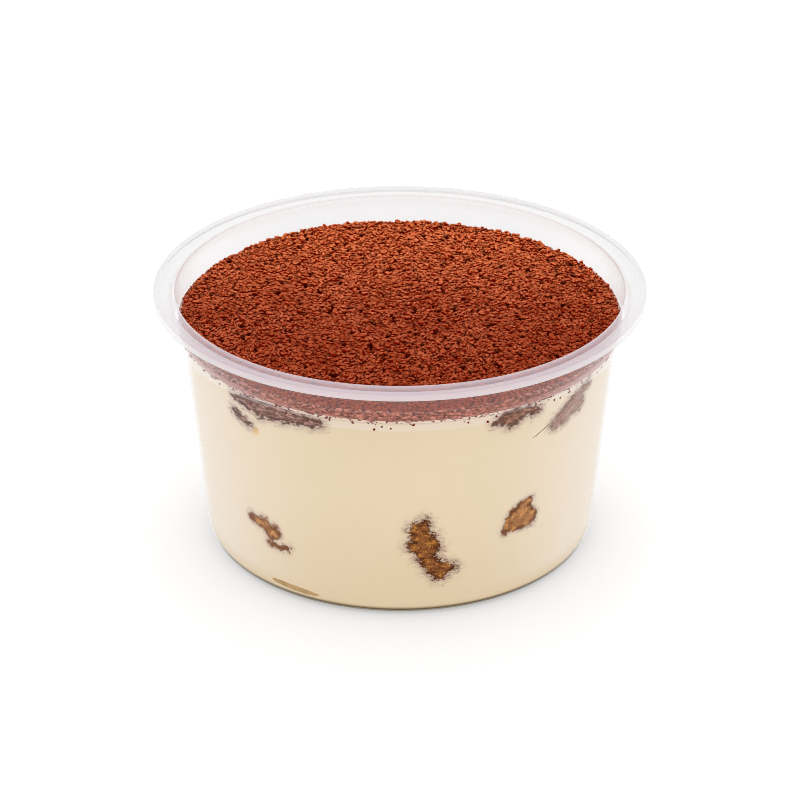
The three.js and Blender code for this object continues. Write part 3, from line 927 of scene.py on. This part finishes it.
# %% Cocoa bed
flat = disc_grid(BED_STEPS, BED_RADIUS)
height, cavity = bed_height(flat)
top = np.concatenate([flat, height[..., None]], -1).reshape(-1, 3)
index = np.arange(BED_STEPS**2).reshape(BED_STEPS, BED_STEPS)
quads = np.stack([index[:-1, :-1], index[1:, :-1], index[1:, 1:], index[:-1, 1:]], -1).reshape(-1, 4)
border = np.concatenate([index[:-1, 0], index[-1, :-1], index[:0:-1, -1], index[0, :0:-1]])
border_azimuth = azimuth_of(top[border])
border_top = top[border, 2]
POWDER_SINK = 0.15  # how far the powder reaches into the cream below it
border_bottom = cocoa_underside(border_azimuth) - POWDER_SINK
SIDE_SHARES = np.linspace(0, 1, 9)
SIDE_RADIUS = 52.0  # where the noise of the side is read


def side_points(share):
    """The powder's side under the rim of the disc: it runs out to the wall, follows it
    down a little into the plastic, and ends over the cream in an uneven edge."""
    ragged = 0.16 + 0.2 * layered_noise(polar(border_azimuth, SIDE_RADIUS, 0.0), 1.6, 216, 3)
    z = mix(np.minimum(border_top - 0.1, COCOA_TOP - 0.1), border_bottom - ragged, share)
    rough = 0.5 + 0.5 * layered_noise(polar(border_azimuth, SIDE_RADIUS, z), 0.9, 215, 2)
    reach = wall_radius(z) + BITE + 0.04 - 0.08 * rough
    bulge = smoothstep(-0.1, 0.12, share)
    return polar(border_azimuth, mix(BED_RADIUS + 0.15, reach, bulge), z)


rings = [side_points(share) for share in SIDE_SHARES]
rings += [polar(border_azimuth, radius, border_bottom) for radius in (46.0, 20.0)]
bed_points = np.concatenate([top, *rings, [[0, 0, COCOA_BOTTOM - POWDER_SINK]]])
ring = np.arange(len(border))
loops = [border] + [len(top) + k * len(border) + ring for k in range(len(rings))]


def strip(upper, lower):
    """Quads between two closed loops with the same number of points."""
    return np.stack([upper, lower, np.roll(lower, -1), np.roll(upper, -1)], -1)


fan = np.stack([loops[-1], np.full(len(border), len(bed_points) - 1), np.roll(loops[-1], -1)], -1)
bed_faces = [quads, *[strip(loops[k], loops[k + 1]) for k in range(len(loops) - 1)], fan]
cocoa_bed = make_piece("cocoa_bed", bed_points, bed_faces)
on_side = np.ones(len(cocoa_bed.data.polygons), np.int32)
on_side[:len(quads)] = 0
cocoa_bed.data.polygons.foreach_set("material_index", on_side)
measure(cocoa_bed)
below = np.zeros(2 * len(border) + 1)
store(cocoa_bed, "cavity", np.concatenate([cavity.ravel(), np.repeat(1 - SIDE_SHARES, len(border)), below]))
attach(cocoa_bed, "root")
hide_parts("cocoa")

# %% [markdown]
# ## Loose clumps and grains
#
# On top of the relief lie loose clumps and finer grains. They could be particles, but
# joined meshes travel better: one lump of 32 faces is copied to every place as arrays,
# and each copy gets its own size, turn and dents.

# %% Scatter helpers
rng = np.random.default_rng(20417)


def unit_lump():
    """A ball of 18 points and 32 triangles: an octahedron with every edge split."""
    corners = np.array([[1, 0, 0], [-1, 0, 0], [0, 1, 0], [0, -1, 0], [0, 0, 1], [0, 0, -1]], float)
    eighths = [(4, 0, 2), (4, 2, 1), (4, 1, 3), (4, 3, 0), (5, 2, 0), (5, 1, 2), (5, 3, 1), (5, 0, 3)]
    points = list(corners)
    middle = {}
    faces = []
    for a, b, c in eighths:
        halves = []
        for p, q in ((a, b), (b, c), (c, a)):
            key = (min(p, q), max(p, q))
            if key not in middle:
                middle[key] = len(points)
                half = corners[p] + corners[q]
                points.append(half / np.linalg.norm(half))
            halves.append(middle[key])
        ab, bc, ca = halves
        faces += [(a, ab, ca), (ab, b, bc), (ca, bc, c), (ab, bc, ca)]
    return np.array(points), np.array(faces)


def random_turns(count):
    """Random rotation matrices, from random unit quaternions (w, x, y, z)."""
    q = rng.normal(size=(count, 4))
    w, x, y, z = (q / np.linalg.norm(q, axis=1, keepdims=True)).T
    return np.stack([
        np.stack([1 - 2 * (y * y + z * z), 2 * (x * y - z * w), 2 * (x * z + y * w)], -1),
        np.stack([2 * (x * y + z * w), 1 - 2 * (x * x + z * z), 2 * (y * z - x * w)], -1),
        np.stack([2 * (x * z - y * w), 2 * (y * z + x * w), 1 - 2 * (x * x + y * y)], -1),
    ], -2)


def scatter(name, places, sizes, dents, squash=(1, 1, 1)):
    """One mesh of dented lumps: place + turn @ (lump * size * (1 + dents * random))."""
    lump, faces = unit_lump()
    count = len(places)
    shapes = lump[None] * (1 + dents * rng.uniform(-1, 1, (count, len(lump), 1)))
    stretch = rng.uniform(0.75, 1.25, (count, 1, 3))
    shapes = np.einsum("nij,nkj->nki", random_turns(count), shapes * stretch) * np.array(squash)
    points = places[:, None] + shapes * sizes[:, None, None] / 2
    every = faces[None] + len(lump) * np.arange(count)[:, None, None]
    piece = make_piece(name, points.reshape(-1, 3), [every.reshape(-1, 3)], smooth=False)
    store(piece, "tone", np.repeat(rng.uniform(0, 1, count), len(lump)))
    # The cavity number is low on each lump's underside; the cocoa finish paints shade there.
    high = shapes[..., 2] / np.abs(shapes[..., 2]).max(axis=1, keepdims=True)
    store(piece, "cavity", 0.5 + 0.5 * high)
    print(name + ":", count, "lumps,", triangles_of(piece), "triangles")
    return piece


def spread(spacing, radius):
    """Jittered places: a square grid in which every point is moved by up to half a cell,
    kept inside a circle."""
    line = np.arange(-radius, radius + spacing, spacing)
    grid = np.stack(np.meshgrid(line, line), -1).reshape(-1, 2)
    grid = grid + rng.uniform(-0.5, 0.5, grid.shape) * spacing
    return grid[np.hypot(grid[:, 0], grid[:, 1]) < radius]


# %% Clumps and grains
def strewn(name, spacing, radius, sizes, lift, squash, least, front_radius):
    """Lumps strewn over the bed and lifted by a share of their size, where the bed isn't a
    pit. Near the front wall the powder is pressed: lumps stay within front_radius."""
    flat = spread(spacing, radius)
    size = rng.uniform(*sizes, len(flat))
    base, openness = bed_height(flat)
    places = np.column_stack([flat, base + lift * size])
    limit = mix(wall_radius(COCOA_TOP) - 0.05, front_radius, at_front(flat))
    inside = np.hypot(flat[:, 0], flat[:, 1]) + 0.65 * size < limit
    keep = (openness > least) & inside
    piece = scatter(name, places[keep], size[keep], 0.36, squash)
    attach(piece, "root")
    return piece


cocoa_clumps = strewn("cocoa_clumps", 1.22, 51.9, (0.7, 1.35), 0.14, (1, 1, 0.8), 0.30, 49.6)
cocoa_crumbs = strewn("cocoa_crumbs", 1.20, 52.1, (0.42, 0.9), 0.2, (1, 1, 0.85), 0.22, 51.2)
cocoa_grains = strewn("cocoa_grains", 1.22, 52.2, (0.28, 0.55), 0.25, (1, 1, 1), 0.0, 52.5)

# %% [markdown]
# ## Cocoa specks on the cream
#
# Where powder has run down between the cream and the plastic, single specks show just
# under the cocoa, thick near it and rare further down.

# %% Specks
SPECKS = 480
speck_azimuth = rng.uniform(-180, 180, SPECKS)
speck_drop = rng.exponential(0.85, SPECKS)
speck_height = np.maximum(cocoa_underside(speck_azimuth) - speck_drop, 51.5)
speck_places = polar(speck_azimuth, wall_radius(speck_height) + BITE, speck_height)
cocoa_specks = scatter("cocoa_specks", speck_places, rng.uniform(0.22, 0.62, SPECKS), 0.35)
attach(cocoa_specks, "root")

# %% [markdown]
# ## Finishes
#
# Every finish mixes its colours by masks that change over the surface. Masks that more
# than one finish needs are node groups, with sockets for their size and strength, and
# put out only colours and numbers. The shader itself stays in each material. A socket
# knows the node tree that it belongs to, so most of the helpers need only sockets.

# %% Material helpers


def srgb(red, green, blue):
    """A colour given as screen values from 0 to 255, as the linear light a shader wants."""
    c = np.array([red, green, blue]) / 255
    linear = np.where(c <= 0.04045, c / 12.92, ((c + 0.055) / 1.055) ** 2.4)
    return (*linear, 1.0)


def set_sockets(node, values):
    """Gives a node's inputs their values: another socket is linked, the rest is set."""
    for key, value in values.items():
        if isinstance(value, bpy.types.NodeSocket):
            node.id_data.links.new(value, node.inputs[key])
        else:
            node.inputs[key].default_value = value


def add_node(tree, kind, values=None, **settings):
    """A node with its settings and the values of its inputs."""
    node = tree.nodes.new("ShaderNode" + kind)
    for key, value in settings.items():
        setattr(node, key, value)
    set_sockets(node, values or {})
    return node


def new_finish(name, values):
    """A material with one Principled shader; returns it, its tree and the shader."""
    material = bpy.data.materials.new(name)
    material.use_nodes = True
    shader = next(n for n in material.node_tree.nodes if n.type == "BSDF_PRINCIPLED")
    set_sockets(shader, values)
    return material, material.node_tree, shader


def new_group(name, inputs, outputs):
    """A node group with inputs of a number or, given as a tuple, a colour, and with its
    outputs; returns its tree, the sockets of its inputs and its output node."""
    tree = bpy.data.node_groups.new(name, "ShaderNodeTree")
    for label, value in inputs.items():
        kind = "NodeSocketColor" if isinstance(value, tuple) else "NodeSocketFloat"
        socket = tree.interface.new_socket(label, in_out="INPUT", socket_type=kind)
        socket.default_value = value
    for label, kind in outputs.items():
        tree.interface.new_socket(label, in_out="OUTPUT", socket_type=kind)
    return tree, tree.nodes.new("NodeGroupInput").outputs, tree.nodes.new("NodeGroupOutput")


# %% Masks and colours
def maths(operation, *terms, clamp=False):
    """A maths node whose terms are sockets or plain numbers."""
    tree = next(term.id_data for term in terms if isinstance(term, bpy.types.NodeSocket))
    node = add_node(tree, "Math", dict(enumerate(terms)), operation=operation, use_clamp=clamp)
    return node.outputs[0]


def blend(mask, low, high):
    """A mix of two colours, plain or sockets, by a mask socket."""
    values = {"Factor": mask, 6: low, 7: high}
    return add_node(mask.id_data, "Mix", values, data_type="RGBA").outputs[2]


def ramp(source, low, high):
    """Stretches a socket so that low becomes 0 and high becomes 1, smoothly."""
    values = {"Value": source, "From Min": low, "From Max": high}
    node = add_node(source.id_data, "MapRange", values, interpolation_type="SMOOTHSTEP")
    return node.outputs["Result"]


def noise(place, scale, detail, roughness=0.5, distortion=0.0):
    """Smooth noise at a place socket, about 0.5."""
    values = {"Vector": place, "Scale": scale, "Detail": detail, "Roughness": roughness,
              "Distortion": distortion}
    return add_node(place.id_data, "TexNoise", values).outputs["Fac"]


def place_in(tree):
    """The place of a point in the object's own space."""
    return add_node(tree, "TexCoord").outputs["Object"]


def axis_of(vector, axis):
    """One coordinate of a vector socket."""
    return add_node(vector.id_data, "SeparateXYZ", {0: vector}).outputs[axis]


def normal_up(tree):
    """How far the surface faces up, from -1 to 1."""
    return axis_of(add_node(tree, "TexCoord").outputs["Normal"], "Z")


def turned_away(tree):
    """How far the surface turns away from the eye, from 0 to 1."""
    return add_node(tree, "LayerWeight", {"Blend": 0.5}).outputs["Facing"]


def kept_number(tree, name):
    """A number that was stored on the points."""
    return add_node(tree, "Attribute", attribute_name=name).outputs["Fac"]


def add_bump(shader, height, strength, distance):
    """Fine relief on a shader, from a height socket; the distance is in millimetres."""
    values = {"Strength": strength, "Distance": distance * MM, "Height": height}
    set_sockets(shader, {"Normal": add_node(shader.id_data, "Bump", values).outputs["Normal"]})


# %% [markdown]
# ### Grain
#
# One group serves powder, crumb and cream alike: fine and coarse noise in the object's
# own space, mixed to one mask and one height.

# %% Grain group
grain, grain_in, grain_out = new_group(
    "grain",
    {"Coarse Scale": 400.0, "Fine Scale": 2500.0, "Fine Share": 0.5},
    {"Mask": "NodeSocketFloat", "Height": "NodeSocketFloat"})
grain_place = place_in(grain)
coarse = noise(grain_place, grain_in["Coarse Scale"], 3.0, 0.55)
fine = noise(grain_place, grain_in["Fine Scale"], 2.0, 0.6)
both_values = {"Factor": grain_in["Fine Share"], 2: coarse, 3: fine}
both = add_node(grain, "Mix", both_values, data_type="FLOAT").outputs[0]
set_sockets(grain_out, {"Mask": ramp(both, 0.3, 0.7), "Height": both})


def use_grain(tree, coarse_scale, fine_scale, fine_share):
    """The outputs of the grain group, placed in a material."""
    values = {"Coarse Scale": coarse_scale, "Fine Scale": fine_scale, "Fine Share": fine_share}
    return add_node(tree, "Group", values, node_tree=grain).outputs


print("groups:", [g.name for g in bpy.data.node_groups])

# %% [markdown]
# ### Cocoa
#
# Dry cocoa is an orange brown where light reaches it and almost black red in its gaps,
# and here that shade is painted. The cavity number, kept on the points, paints shade into
# the gaps and under the lumps, and the sides of the lumps are painted darker than their
# tops. Damp patches are browner; they are painted denser towards the front and the back is
# painted paler, a painted fall of light from behind. Grain varies the rest.

# %% Cocoa finish
COCOA_LIGHT = srgb(230, 138, 100)
COCOA_MIDDLE = srgb(191, 70, 24)
# Painted light on the back of the bed:
COCOA_BACK_LIT = srgb(255, 150, 98)
COCOA_DAMP = srgb(160, 64, 34)
# Painted shade on the sides of the lumps:
COCOA_SHADED_SIDE = srgb(130, 20, 0)
# Painted shade in the gaps and under the lumps:
COCOA_GAP_SHADE = srgb(60, 2, 0)


def cocoa_finish(name, low, high):
    """Powder that is painted light on top and darker on its sides, a painted shade, and almost
    black, a painted shade in its gaps and under its lumps, where its cavity number is below
    the lower limit. Its back is painted paler, a painted fall of light from behind."""
    material, tree, shader = new_finish(name, {"Roughness": 0.92, "Specular IOR Level": 0.0})
    speckle = use_grain(tree, 420.0, 2600.0, 0.75)
    patches = use_grain(tree, 110.0, 330.0, 0.4)
    back = axis_of(place_in(tree), "Y")
    near = blend(speckle["Mask"], COCOA_MIDDLE, COCOA_LIGHT)
    # Damp patches, real, and painted denser towards the front: a painted fall of light.
    dry = maths("MULTIPLY_ADD", patches["Mask"], ramp(back, -90 * MM, 40 * MM), 0.1, clamp=True)
    near = blend(dry, COCOA_DAMP, near)
    # Paler towards the back: painted light from behind.
    far = blend(speckle["Mask"], COCOA_MIDDLE, COCOA_BACK_LIT)
    painted_back_light = blend(ramp(back, -10 * MM, 50 * MM), near, far)
    # Sides of the lumps darker than their tops: painted shade.
    painted_side_shade = blend(ramp(normal_up(tree), 0.35, 0.92), COCOA_SHADED_SIDE, painted_back_light)
    # Almost black where the cavity number is low: painted shade in gaps and under lumps.
    tone = blend(ramp(kept_number(tree, "cavity"), low, high), COCOA_GAP_SHADE, painted_side_shade)
    set_sockets(shader, {"Base Color": tone})
    add_bump(shader, speckle["Height"], 1.0, 0.16)
    return material


bed_finish = cocoa_finish("cocoa_powder", 0.25, 0.95)
clump_finish = cocoa_finish("cocoa_clump", 0.0, 0.75)
speck_finish = cocoa_finish("cocoa_speck", -0.8, 1.6)
for piece in (cocoa_clumps, cocoa_crumbs, cocoa_grains):
    piece.data.materials.append(clump_finish)
cocoa_specks.data.materials.append(speck_finish)

# %% Pressed cocoa
PRESSED_DARK = srgb(92, 38, 24)
PRESSED = srgb(180, 104, 82)
PRESSED_LIGHT = srgb(210, 134, 114)
# A painted sheen where the pressed powder turns away:
PRESSED_SHEEN = srgb(204, 168, 164)


def pressed_cocoa():
    """Powder pressed against the plastic: even, with short level streaks, painted paler where
    it turns away from the eye, a painted sheen, and dark in places along its lower edge,
    where the number kept on the points is near 0."""
    values = {"Roughness": 0.9, "Specular IOR Level": 0.0}
    material, tree, shader = new_finish("cocoa_pressed", values)
    squeeze = {"Vector": place_in(tree), "Scale": (1.0, 1.0, 2.4), "Rotation": (0.0, -0.25, 0.0)}
    squeezed = add_node(tree, "Mapping", squeeze).outputs["Vector"]
    streaks = noise(squeezed, 900.0, 3.0, 0.6, 0.6)
    tone = blend(ramp(streaks, 0.36, 0.62), PRESSED_DARK, PRESSED)
    tone = blend(ramp(streaks, 0.54, 0.66), tone, PRESSED_LIGHT)
    # Paler where it turns away from the eye: a painted sheen.
    tone = blend(ramp(turned_away(tree), 0.22, 0.80), tone, PRESSED_SHEEN)
    edge = maths("MULTIPLY_ADD", kept_number(tree, "cavity"), 0.8, noise(squeezed, 260.0, 2.0))
    tone = blend(ramp(edge, 0.44, 0.56), PRESSED_DARK, tone)
    set_sockets(shader, {"Base Color": tone})
    add_bump(shader, streaks, 0.4, 0.15)
    return material


cocoa_bed.data.materials.append(bed_finish)
cocoa_bed.data.materials.append(pressed_cocoa())
print("cocoa finishes:", [m.name for m in bpy.data.materials if m.name.startswith("cocoa")])

# %% [markdown]
# ### Crumb at the wall
#
# Where a soaked finger touches the plastic, golden crumb shows, dark at its torn edge,
# with a mauve halo and specks of coffee in the cream round it. One group makes all of it
# from the depth kept on the points: noise is added to the depth, so the edge frays much
# finer than any grid. Cream and crumb share the group, so no line shows between them.

# %% Crumb noise
crumb_face, crumb_in, crumb_out = new_group(
    "crumb_face",
    {"Depth": 0.0, "Ragged": 0.5, "Dark": 0.0, "Cover": 1.0, "Cream": srgb(240, 215, 180)},
    {"Color": "NodeSocketColor", "Height": "NodeSocketFloat"})
upwards = maths("MULTIPLY_ADD", crumb_in["Dark"], 1.6, 1.0)  # dark crumb is squeezed flatter
stretch = add_node(crumb_face, "CombineXYZ", {0: 1.0, 1: 1.0, 2: upwards}).outputs[0]
crumb_values = {0: place_in(crumb_face), 1: stretch}
crumb_place = add_node(crumb_face, "VectorMath", crumb_values, operation="MULTIPLY").outputs[0]
tear = noise(crumb_place, 620.0, 4.0, 0.7)
dots = noise(crumb_place, 2300.0, 2.0, 0.6)
lie = noise(crumb_place, 500.0, 2.0, 0.5)
tearing = maths("MULTIPLY", maths("SUBTRACT", tear, 0.5), crumb_in["Ragged"])
torn = maths("MULTIPLY_ADD", tearing, 6.0, maths("ADD", crumb_in["Depth"], 0.25))
torn = maths("ADD", torn, maths("MULTIPLY", maths("SUBTRACT", dots, 0.5), 1.1))
print("crumb_face: noise, with", len(crumb_face.nodes), "nodes")

# %% Crumb tones
TONES = {  # dry, golden and soaked crumb
    "light": ((212, 150, 92), (190, 124, 60), (196, 154, 144)),
    "middle": ((178, 124, 78), (144, 88, 46), (138, 94, 84)),
    "edge": ((124, 78, 46), (84, 42, 14), (66, 34, 26)),
    "halo": ((194, 168, 152), (172, 142, 126), (184, 156, 146)),
}
COFFEE_SPECK = srgb(118, 76, 60)

golden_share = ramp(crumb_in["Dark"], 0.0, 0.5)
soaked_share = ramp(crumb_in["Dark"], 0.5, 1.0)
tones = {
    key: blend(soaked_share, blend(golden_share, srgb(*dry), srgb(*golden)), srgb(*soaked))
    for key, (dry, golden, soaked) in TONES.items()}
core = blend(ramp(lie, 0.46, 0.66), tones["middle"], tones["light"])
uneven = maths("MULTIPLY_ADD", maths("SUBTRACT", lie, 0.5), 5.0, torn)
crumb_tone = blend(ramp(uneven, 0.0, 1.4), tones["edge"], core)
crumb_tone = blend(ramp(dots, 0.52, 0.64), crumb_tone, tones["edge"])
halo = ramp(torn, maths("MULTIPLY_ADD", crumb_in["Ragged"], -3.4, -0.6), 0.4)
halo = maths("MULTIPLY", halo, maths("MULTIPLY", halo, 0.9))
cream_tone = blend(halo, crumb_in["Cream"], tones["halo"])
speckled = maths("MULTIPLY_ADD", maths("MINIMUM", torn, 0.0), 0.09, dots)
cream_tone = blend(ramp(speckled, 0.53, 0.68), cream_tone, COFFEE_SPECK)
smeared = maths("MULTIPLY", maths("SUBTRACT", lie, 0.5), maths("SUBTRACT", 1.0, crumb_in["Cover"]))
cover = maths("MULTIPLY_ADD", smeared, 8.0, crumb_in["Cover"], clamp=True)
shown = maths("MULTIPLY", ramp(torn, -0.45, 0.3), cover)
set_sockets(crumb_out, {
    "Color": blend(shown, cream_tone, crumb_tone), "Height": maths("MULTIPLY", shown, dots)})
print("crumb_face:", len(crumb_face.nodes), "nodes")

# %% [markdown]
# ### Cream
#
# Set cream is almost one colour: a warm ivory with slow, faint clouds. It is painted a
# little darker towards the bottom, a painted shade, and much darker at its foot, a painted
# contact shadow; the top layer is dusty under the cocoa. It is painted paler where it turns
# away from the eye, a painted sheen of light scattered back at low angles.

# %% Cream finish
CREAM = srgb(228, 209, 176)
CREAM_CLOUD = srgb(231, 212, 181)
# Painted shade, low in the body and at its very foot:
CREAM_LOW_SHADE = srgb(224, 203, 169)
CREAM_FOOT_SHADE = srgb(128, 104, 62)
CREAM_TOP = srgb(232, 215, 195)
CREAM_DUSTY = srgb(205, 169, 138)
# Painted shade inside the open crack:
CRACK_SHADE = srgb(132, 110, 92)
# A painted sheen where the cream turns away:
CREAM_SHEEN = srgb(235, 220, 200)
SYRUP = srgb(226, 182, 96)

# Each level is a colour with two heights: it holds below the first and is gone above the
# second. A level that starts under FOOT_END keeps its colour where it turns away.
# In the body both levels are painted shade: a little darker towards the bottom, and a painted contact
# shadow at the foot.
BODY_LEVELS = [(CREAM_LOW_SHADE, 4, 34), (CREAM_FOOT_SHADE, 1.2, 2.7)]
TOP_LEVELS = [(CREAM_TOP, 52.5, 53.7), (CREAM, 47, 52)]
FOOT_END = 3


def cream_finish(name, plain, cloud, levels, crumb):
    """Ivory with clouds, a painted sheen where it turns away, and levels of other tones, of
    which the body's are painted shade. Patches of crumb lie in it; what isn't crumb itself
    also shows the syrup and the crack's painted shade that are kept on its points."""
    material, tree, shader = new_finish(name, {"Roughness": 0.5, "Specular IOR Level": 0.06})
    tone = blend(use_grain(tree, 45.0, 260.0, 0.2)["Mask"], plain, cloud)
    up = axis_of(place_in(tree), "Z")
    # A painted sheen: paler where the cream turns away from the eye, above the foot.
    painted_sheen = maths("MULTIPLY", ramp(turned_away(tree), 0.14, 0.66), ramp(up, 2.5 * MM, 7 * MM))
    tone = blend(painted_sheen, tone, CREAM_SHEEN)
    for colour, low, high in levels:
        level_tone = colour if low < FOOT_END else blend(painted_sheen, colour, CREAM_SHEEN)
        tone = blend(ramp(up, low * MM, high * MM), level_tone, tone)
    if not crumb:
        tone = blend(kept_number(tree, "syrup"), tone, SYRUP)
        # The crack's painted shade.
        tone = blend(kept_number(tree, "crack"), tone, CRACK_SHADE)
    values = {label.capitalize(): kept_number(tree, label) for label in NUMBER_NAMES}
    face = add_node(tree, "Group", {**values, "Cream": tone}, node_tree=crumb_face).outputs
    set_sockets(shader, {"Base Color": face["Color"]})
    add_bump(shader, face["Height"], 0.6, 0.3)
    return material


cream_body.data.materials.append(cream_finish("set_cream", CREAM, CREAM_CLOUD, BODY_LEVELS, False))
cream_layer.data.materials.append(cream_finish("soft_cream", CREAM_DUSTY, CREAM_TOP, TOP_LEVELS, False))
print("cream levels:", len(BODY_LEVELS), "in the body,", len(TOP_LEVELS), "in the layer")

# %% [markdown]
# ### Sponge
#
# The fingers wear the same finish as the cream, and the depth on their points tells it
# where crumb begins. Inside the cream, where nothing shows, they are crumb throughout.
# The scrap in the corner is paler, for it was left dry.

# %% Sponge finish
for name, piece in sponges.items():
    levels = TOP_LEVELS if "upper" in name else BODY_LEVELS
    piece.data.materials.append(cream_finish(name + "_finish", CREAM, CREAM_CLOUD, levels, True))

scrap_values = {"Roughness": 0.75, "Specular IOR Level": 0.2}
scrap_finish, scrap_tree, scrap_shader = new_finish("pale_crumb", scrap_values)
scrap_mask = use_grain(scrap_tree, 420.0, 1200.0, 0.4)["Mask"]
set_sockets(scrap_shader, {"Base Color": blend(scrap_mask, srgb(168, 136, 92), srgb(198, 164, 116))})
corner_crumb.data.materials.append(scrap_finish)
print("materials so far:", len(bpy.data.materials))

# %% [markdown]
# ### Clear plastic
#
# The wall is only half a millimetre thick, so it bends nothing that can be seen. What
# shows is a faint lilac haze, stronger in the thick rim and wherever the wall turns away
# from the eye. Real glass shading would draw hard dark lines in the rim that soft
# plastic doesn't have. So the shell is a glossy, cloudy film whose opacity is the haze
# kept on its points plus the fourth power of how far the surface faces away. Its tone is
# lilac towards the front, a painted reflection of the cocoa, and neutral elsewhere. It is
# painted whiter where it turns away, a painted reflection of the white room, darker where
# it faces up, a painted shade against the light from above, and dark olive at the foot,
# a painted contact shadow.

# %% Plastic finish
# The thin and thick tones are lilac at the front, a painted reflection of the cocoa. The top tone is a
# painted shade on faces that look up, the edge tone a painted reflection of the white room where the film
# turns away, and the foot tone a painted contact shadow.
THIN_TINT_AND_COCOA_REFLECTION = ((0.74, 0.52, 0.50, 1.0), (0.60, 0.60, 0.605, 1.0))  # at the front, elsewhere
THICK_TINT_AND_COCOA_REFLECTION = ((0.95, 0.87, 0.91, 1.0), (0.87, 0.87, 0.88, 1.0))
TOP_SHADE_TINT = ((0.70, 0.60, 0.68, 1.0), (0.80, 0.80, 0.81, 1.0))
EDGE_REFLECTION_TINT = (0.93, 0.93, 0.94, 1.0)
FOOT_SHADOW_TINT = (0.30, 0.21, 0.04, 1.0)
EDGE_HAZE = 0.70

plastic, plastic_tree, plastic_shader = new_finish("clear_plastic", {"Roughness": 0.25, "IOR": 1.49})
slant = turned_away(plastic_tree)
haze = kept_number(plastic_tree, "haze")
opacity = maths("MULTIPLY_ADD", maths("POWER", slant, 4.0), EDGE_HAZE, haze, clamp=True)
plastic_place = place_in(plastic_tree)
plastic_up = normal_up(plastic_tree)
elsewhere = ramp(axis_of(plastic_place, "Y"), -45 * MM, 5 * MM)
thick_part = ramp(axis_of(plastic_place, "Z"), 61.5 * MM, 62.8 * MM)
# Lilac at the front: a painted reflection of the cocoa.
film = blend(thick_part, blend(elsewhere, *THIN_TINT_AND_COCOA_REFLECTION), blend(elsewhere, *THICK_TINT_AND_COCOA_REFLECTION))
# Whiter where the film turns away: a painted reflection of the white room.
film = blend(ramp(slant, 0.10, 0.55), film, EDGE_REFLECTION_TINT)
# Darker where the film faces up: a painted shade against the light from above.
film = blend(ramp(plastic_up, 0.7, 1.0), film, blend(elsewhere, *TOP_SHADE_TINT))
# Dark olive where the film faces down at the foot: a painted contact shadow.
film = blend(ramp(plastic_up, -0.72, -0.5), FOOT_SHADOW_TINT, film)
set_sockets(plastic_shader, {"Alpha": opacity, "Base Color": film})
add_bump(plastic_shader, use_grain(plastic_tree, 60.0, 300.0, 0.2)["Height"], 0.1, 0.1)
cup_shell.data.materials.append(plastic)
print("clear_plastic:", len(plastic_tree.nodes), "nodes")

# %% [markdown]
# ## Floor and light
#
# The cup stands on a light table: white acrylic that is lit from below as well as from
# above, so shadows stay pale and short. Its glow is painted weaker under and round the
# foot, a painted contact shadow. White light comes evenly from all sides, and one large
# round lamp above and behind gives the powder its shading.

# %% Floor
FLOOR_REACH = 4000
FLOOR_DROP = 0.02  # keeps the floor clear of the cup's base
FLOOR_GLOW = 0.66
GLOW_REACH = 80
# The glow's strength at distances from the middle, in mm: a painted contact shadow.
GLOW_AND_SHADOW_STEPS = ((38, 0.40), (43.5, 0.50), (45.5, 0.80), (50, 0.90), (56, 0.96), (64, 1.0))

floor_corners = np.array([[-1, -1, 0], [1, -1, 0], [1, 1, 0], [-1, 1, 0]]) * FLOOR_REACH
studio_floor = make_piece("studio_floor", floor_corners - (0, 0, FLOOR_DROP), [np.array([[0, 1, 2, 3]])])
floor_finish, floor_tree, floor_shader = new_finish("light_table", {
    "Roughness": 0.9, "Specular IOR Level": 0.0, "Emission Strength": FLOOR_GLOW})
floor_mask = use_grain(floor_tree, 3.0, 40.0, 0.3)["Mask"]
floor_tone = blend(floor_mask, (0.290, 0.292, 0.296, 1), (0.298, 0.300, 0.304, 1))
from_middle = add_node(floor_tree, "VectorMath", {0: place_in(floor_tree)}, operation="LENGTH")
reach = maths("DIVIDE", from_middle.outputs["Value"], GLOW_REACH * MM, clamp=True)
# The glow falls off under and round the foot: a painted contact shadow.
glow = add_node(floor_tree, "ValToRGB", {"Fac": reach})
glow.color_ramp.elements.remove(glow.color_ramp.elements[1])
for radius, strength in GLOW_AND_SHADOW_STEPS:
    stop = glow.color_ramp.elements.new(radius / GLOW_REACH)
    stop.color = (strength, strength, strength, 1)
glow.color_ramp.elements.remove(glow.color_ramp.elements[0])
set_sockets(floor_shader, {"Base Color": floor_tone, "Emission Color": glow.outputs["Color"]})
studio_floor.data.materials.append(floor_finish)
print("glow steps:", len(glow.color_ramp.elements))

# %% Light
WORLD_STRENGTH = 0.985
world = bpy.data.worlds.new("studio")
bpy.context.scene.world = world
world.use_nodes = True
background = next(n for n in world.node_tree.nodes if n.type == "BACKGROUND")
set_sockets(background, {"Color": srgb(255, 255, 255), "Strength": WORLD_STRENGTH})

LAMP_PLACE = Vector((0, 400 * MM, 1120 * MM))
LAMP_SIZE = 0.50
LAMP_POWER = 1.4
lamp_data = bpy.data.lights.new("lamp", "AREA")
lamp_data.shape = "DISK"
lamp_data.size = LAMP_SIZE
lamp_data.energy = LAMP_POWER
lamp = bpy.data.objects.new("lamp", lamp_data)
bpy.context.scene.collection.objects.link(lamp)
lamp.location = LAMP_PLACE
lamp.rotation_euler = (Vector((0, 0, COCOA_TOP * MM)) - LAMP_PLACE).to_track_quat("-Z", "Y").to_euler()
print("lamp:", round(LAMP_PLACE.length / MM), "mm from the middle of the base")

# %% Picture settings
scene = bpy.context.scene
scene.view_settings.view_transform = "Standard"
scene.view_settings.exposure = 0.11
scene.cycles.use_denoising = True
scene.cycles.transparent_max_bounces = 24
scene.cycles.filter_width = 0.8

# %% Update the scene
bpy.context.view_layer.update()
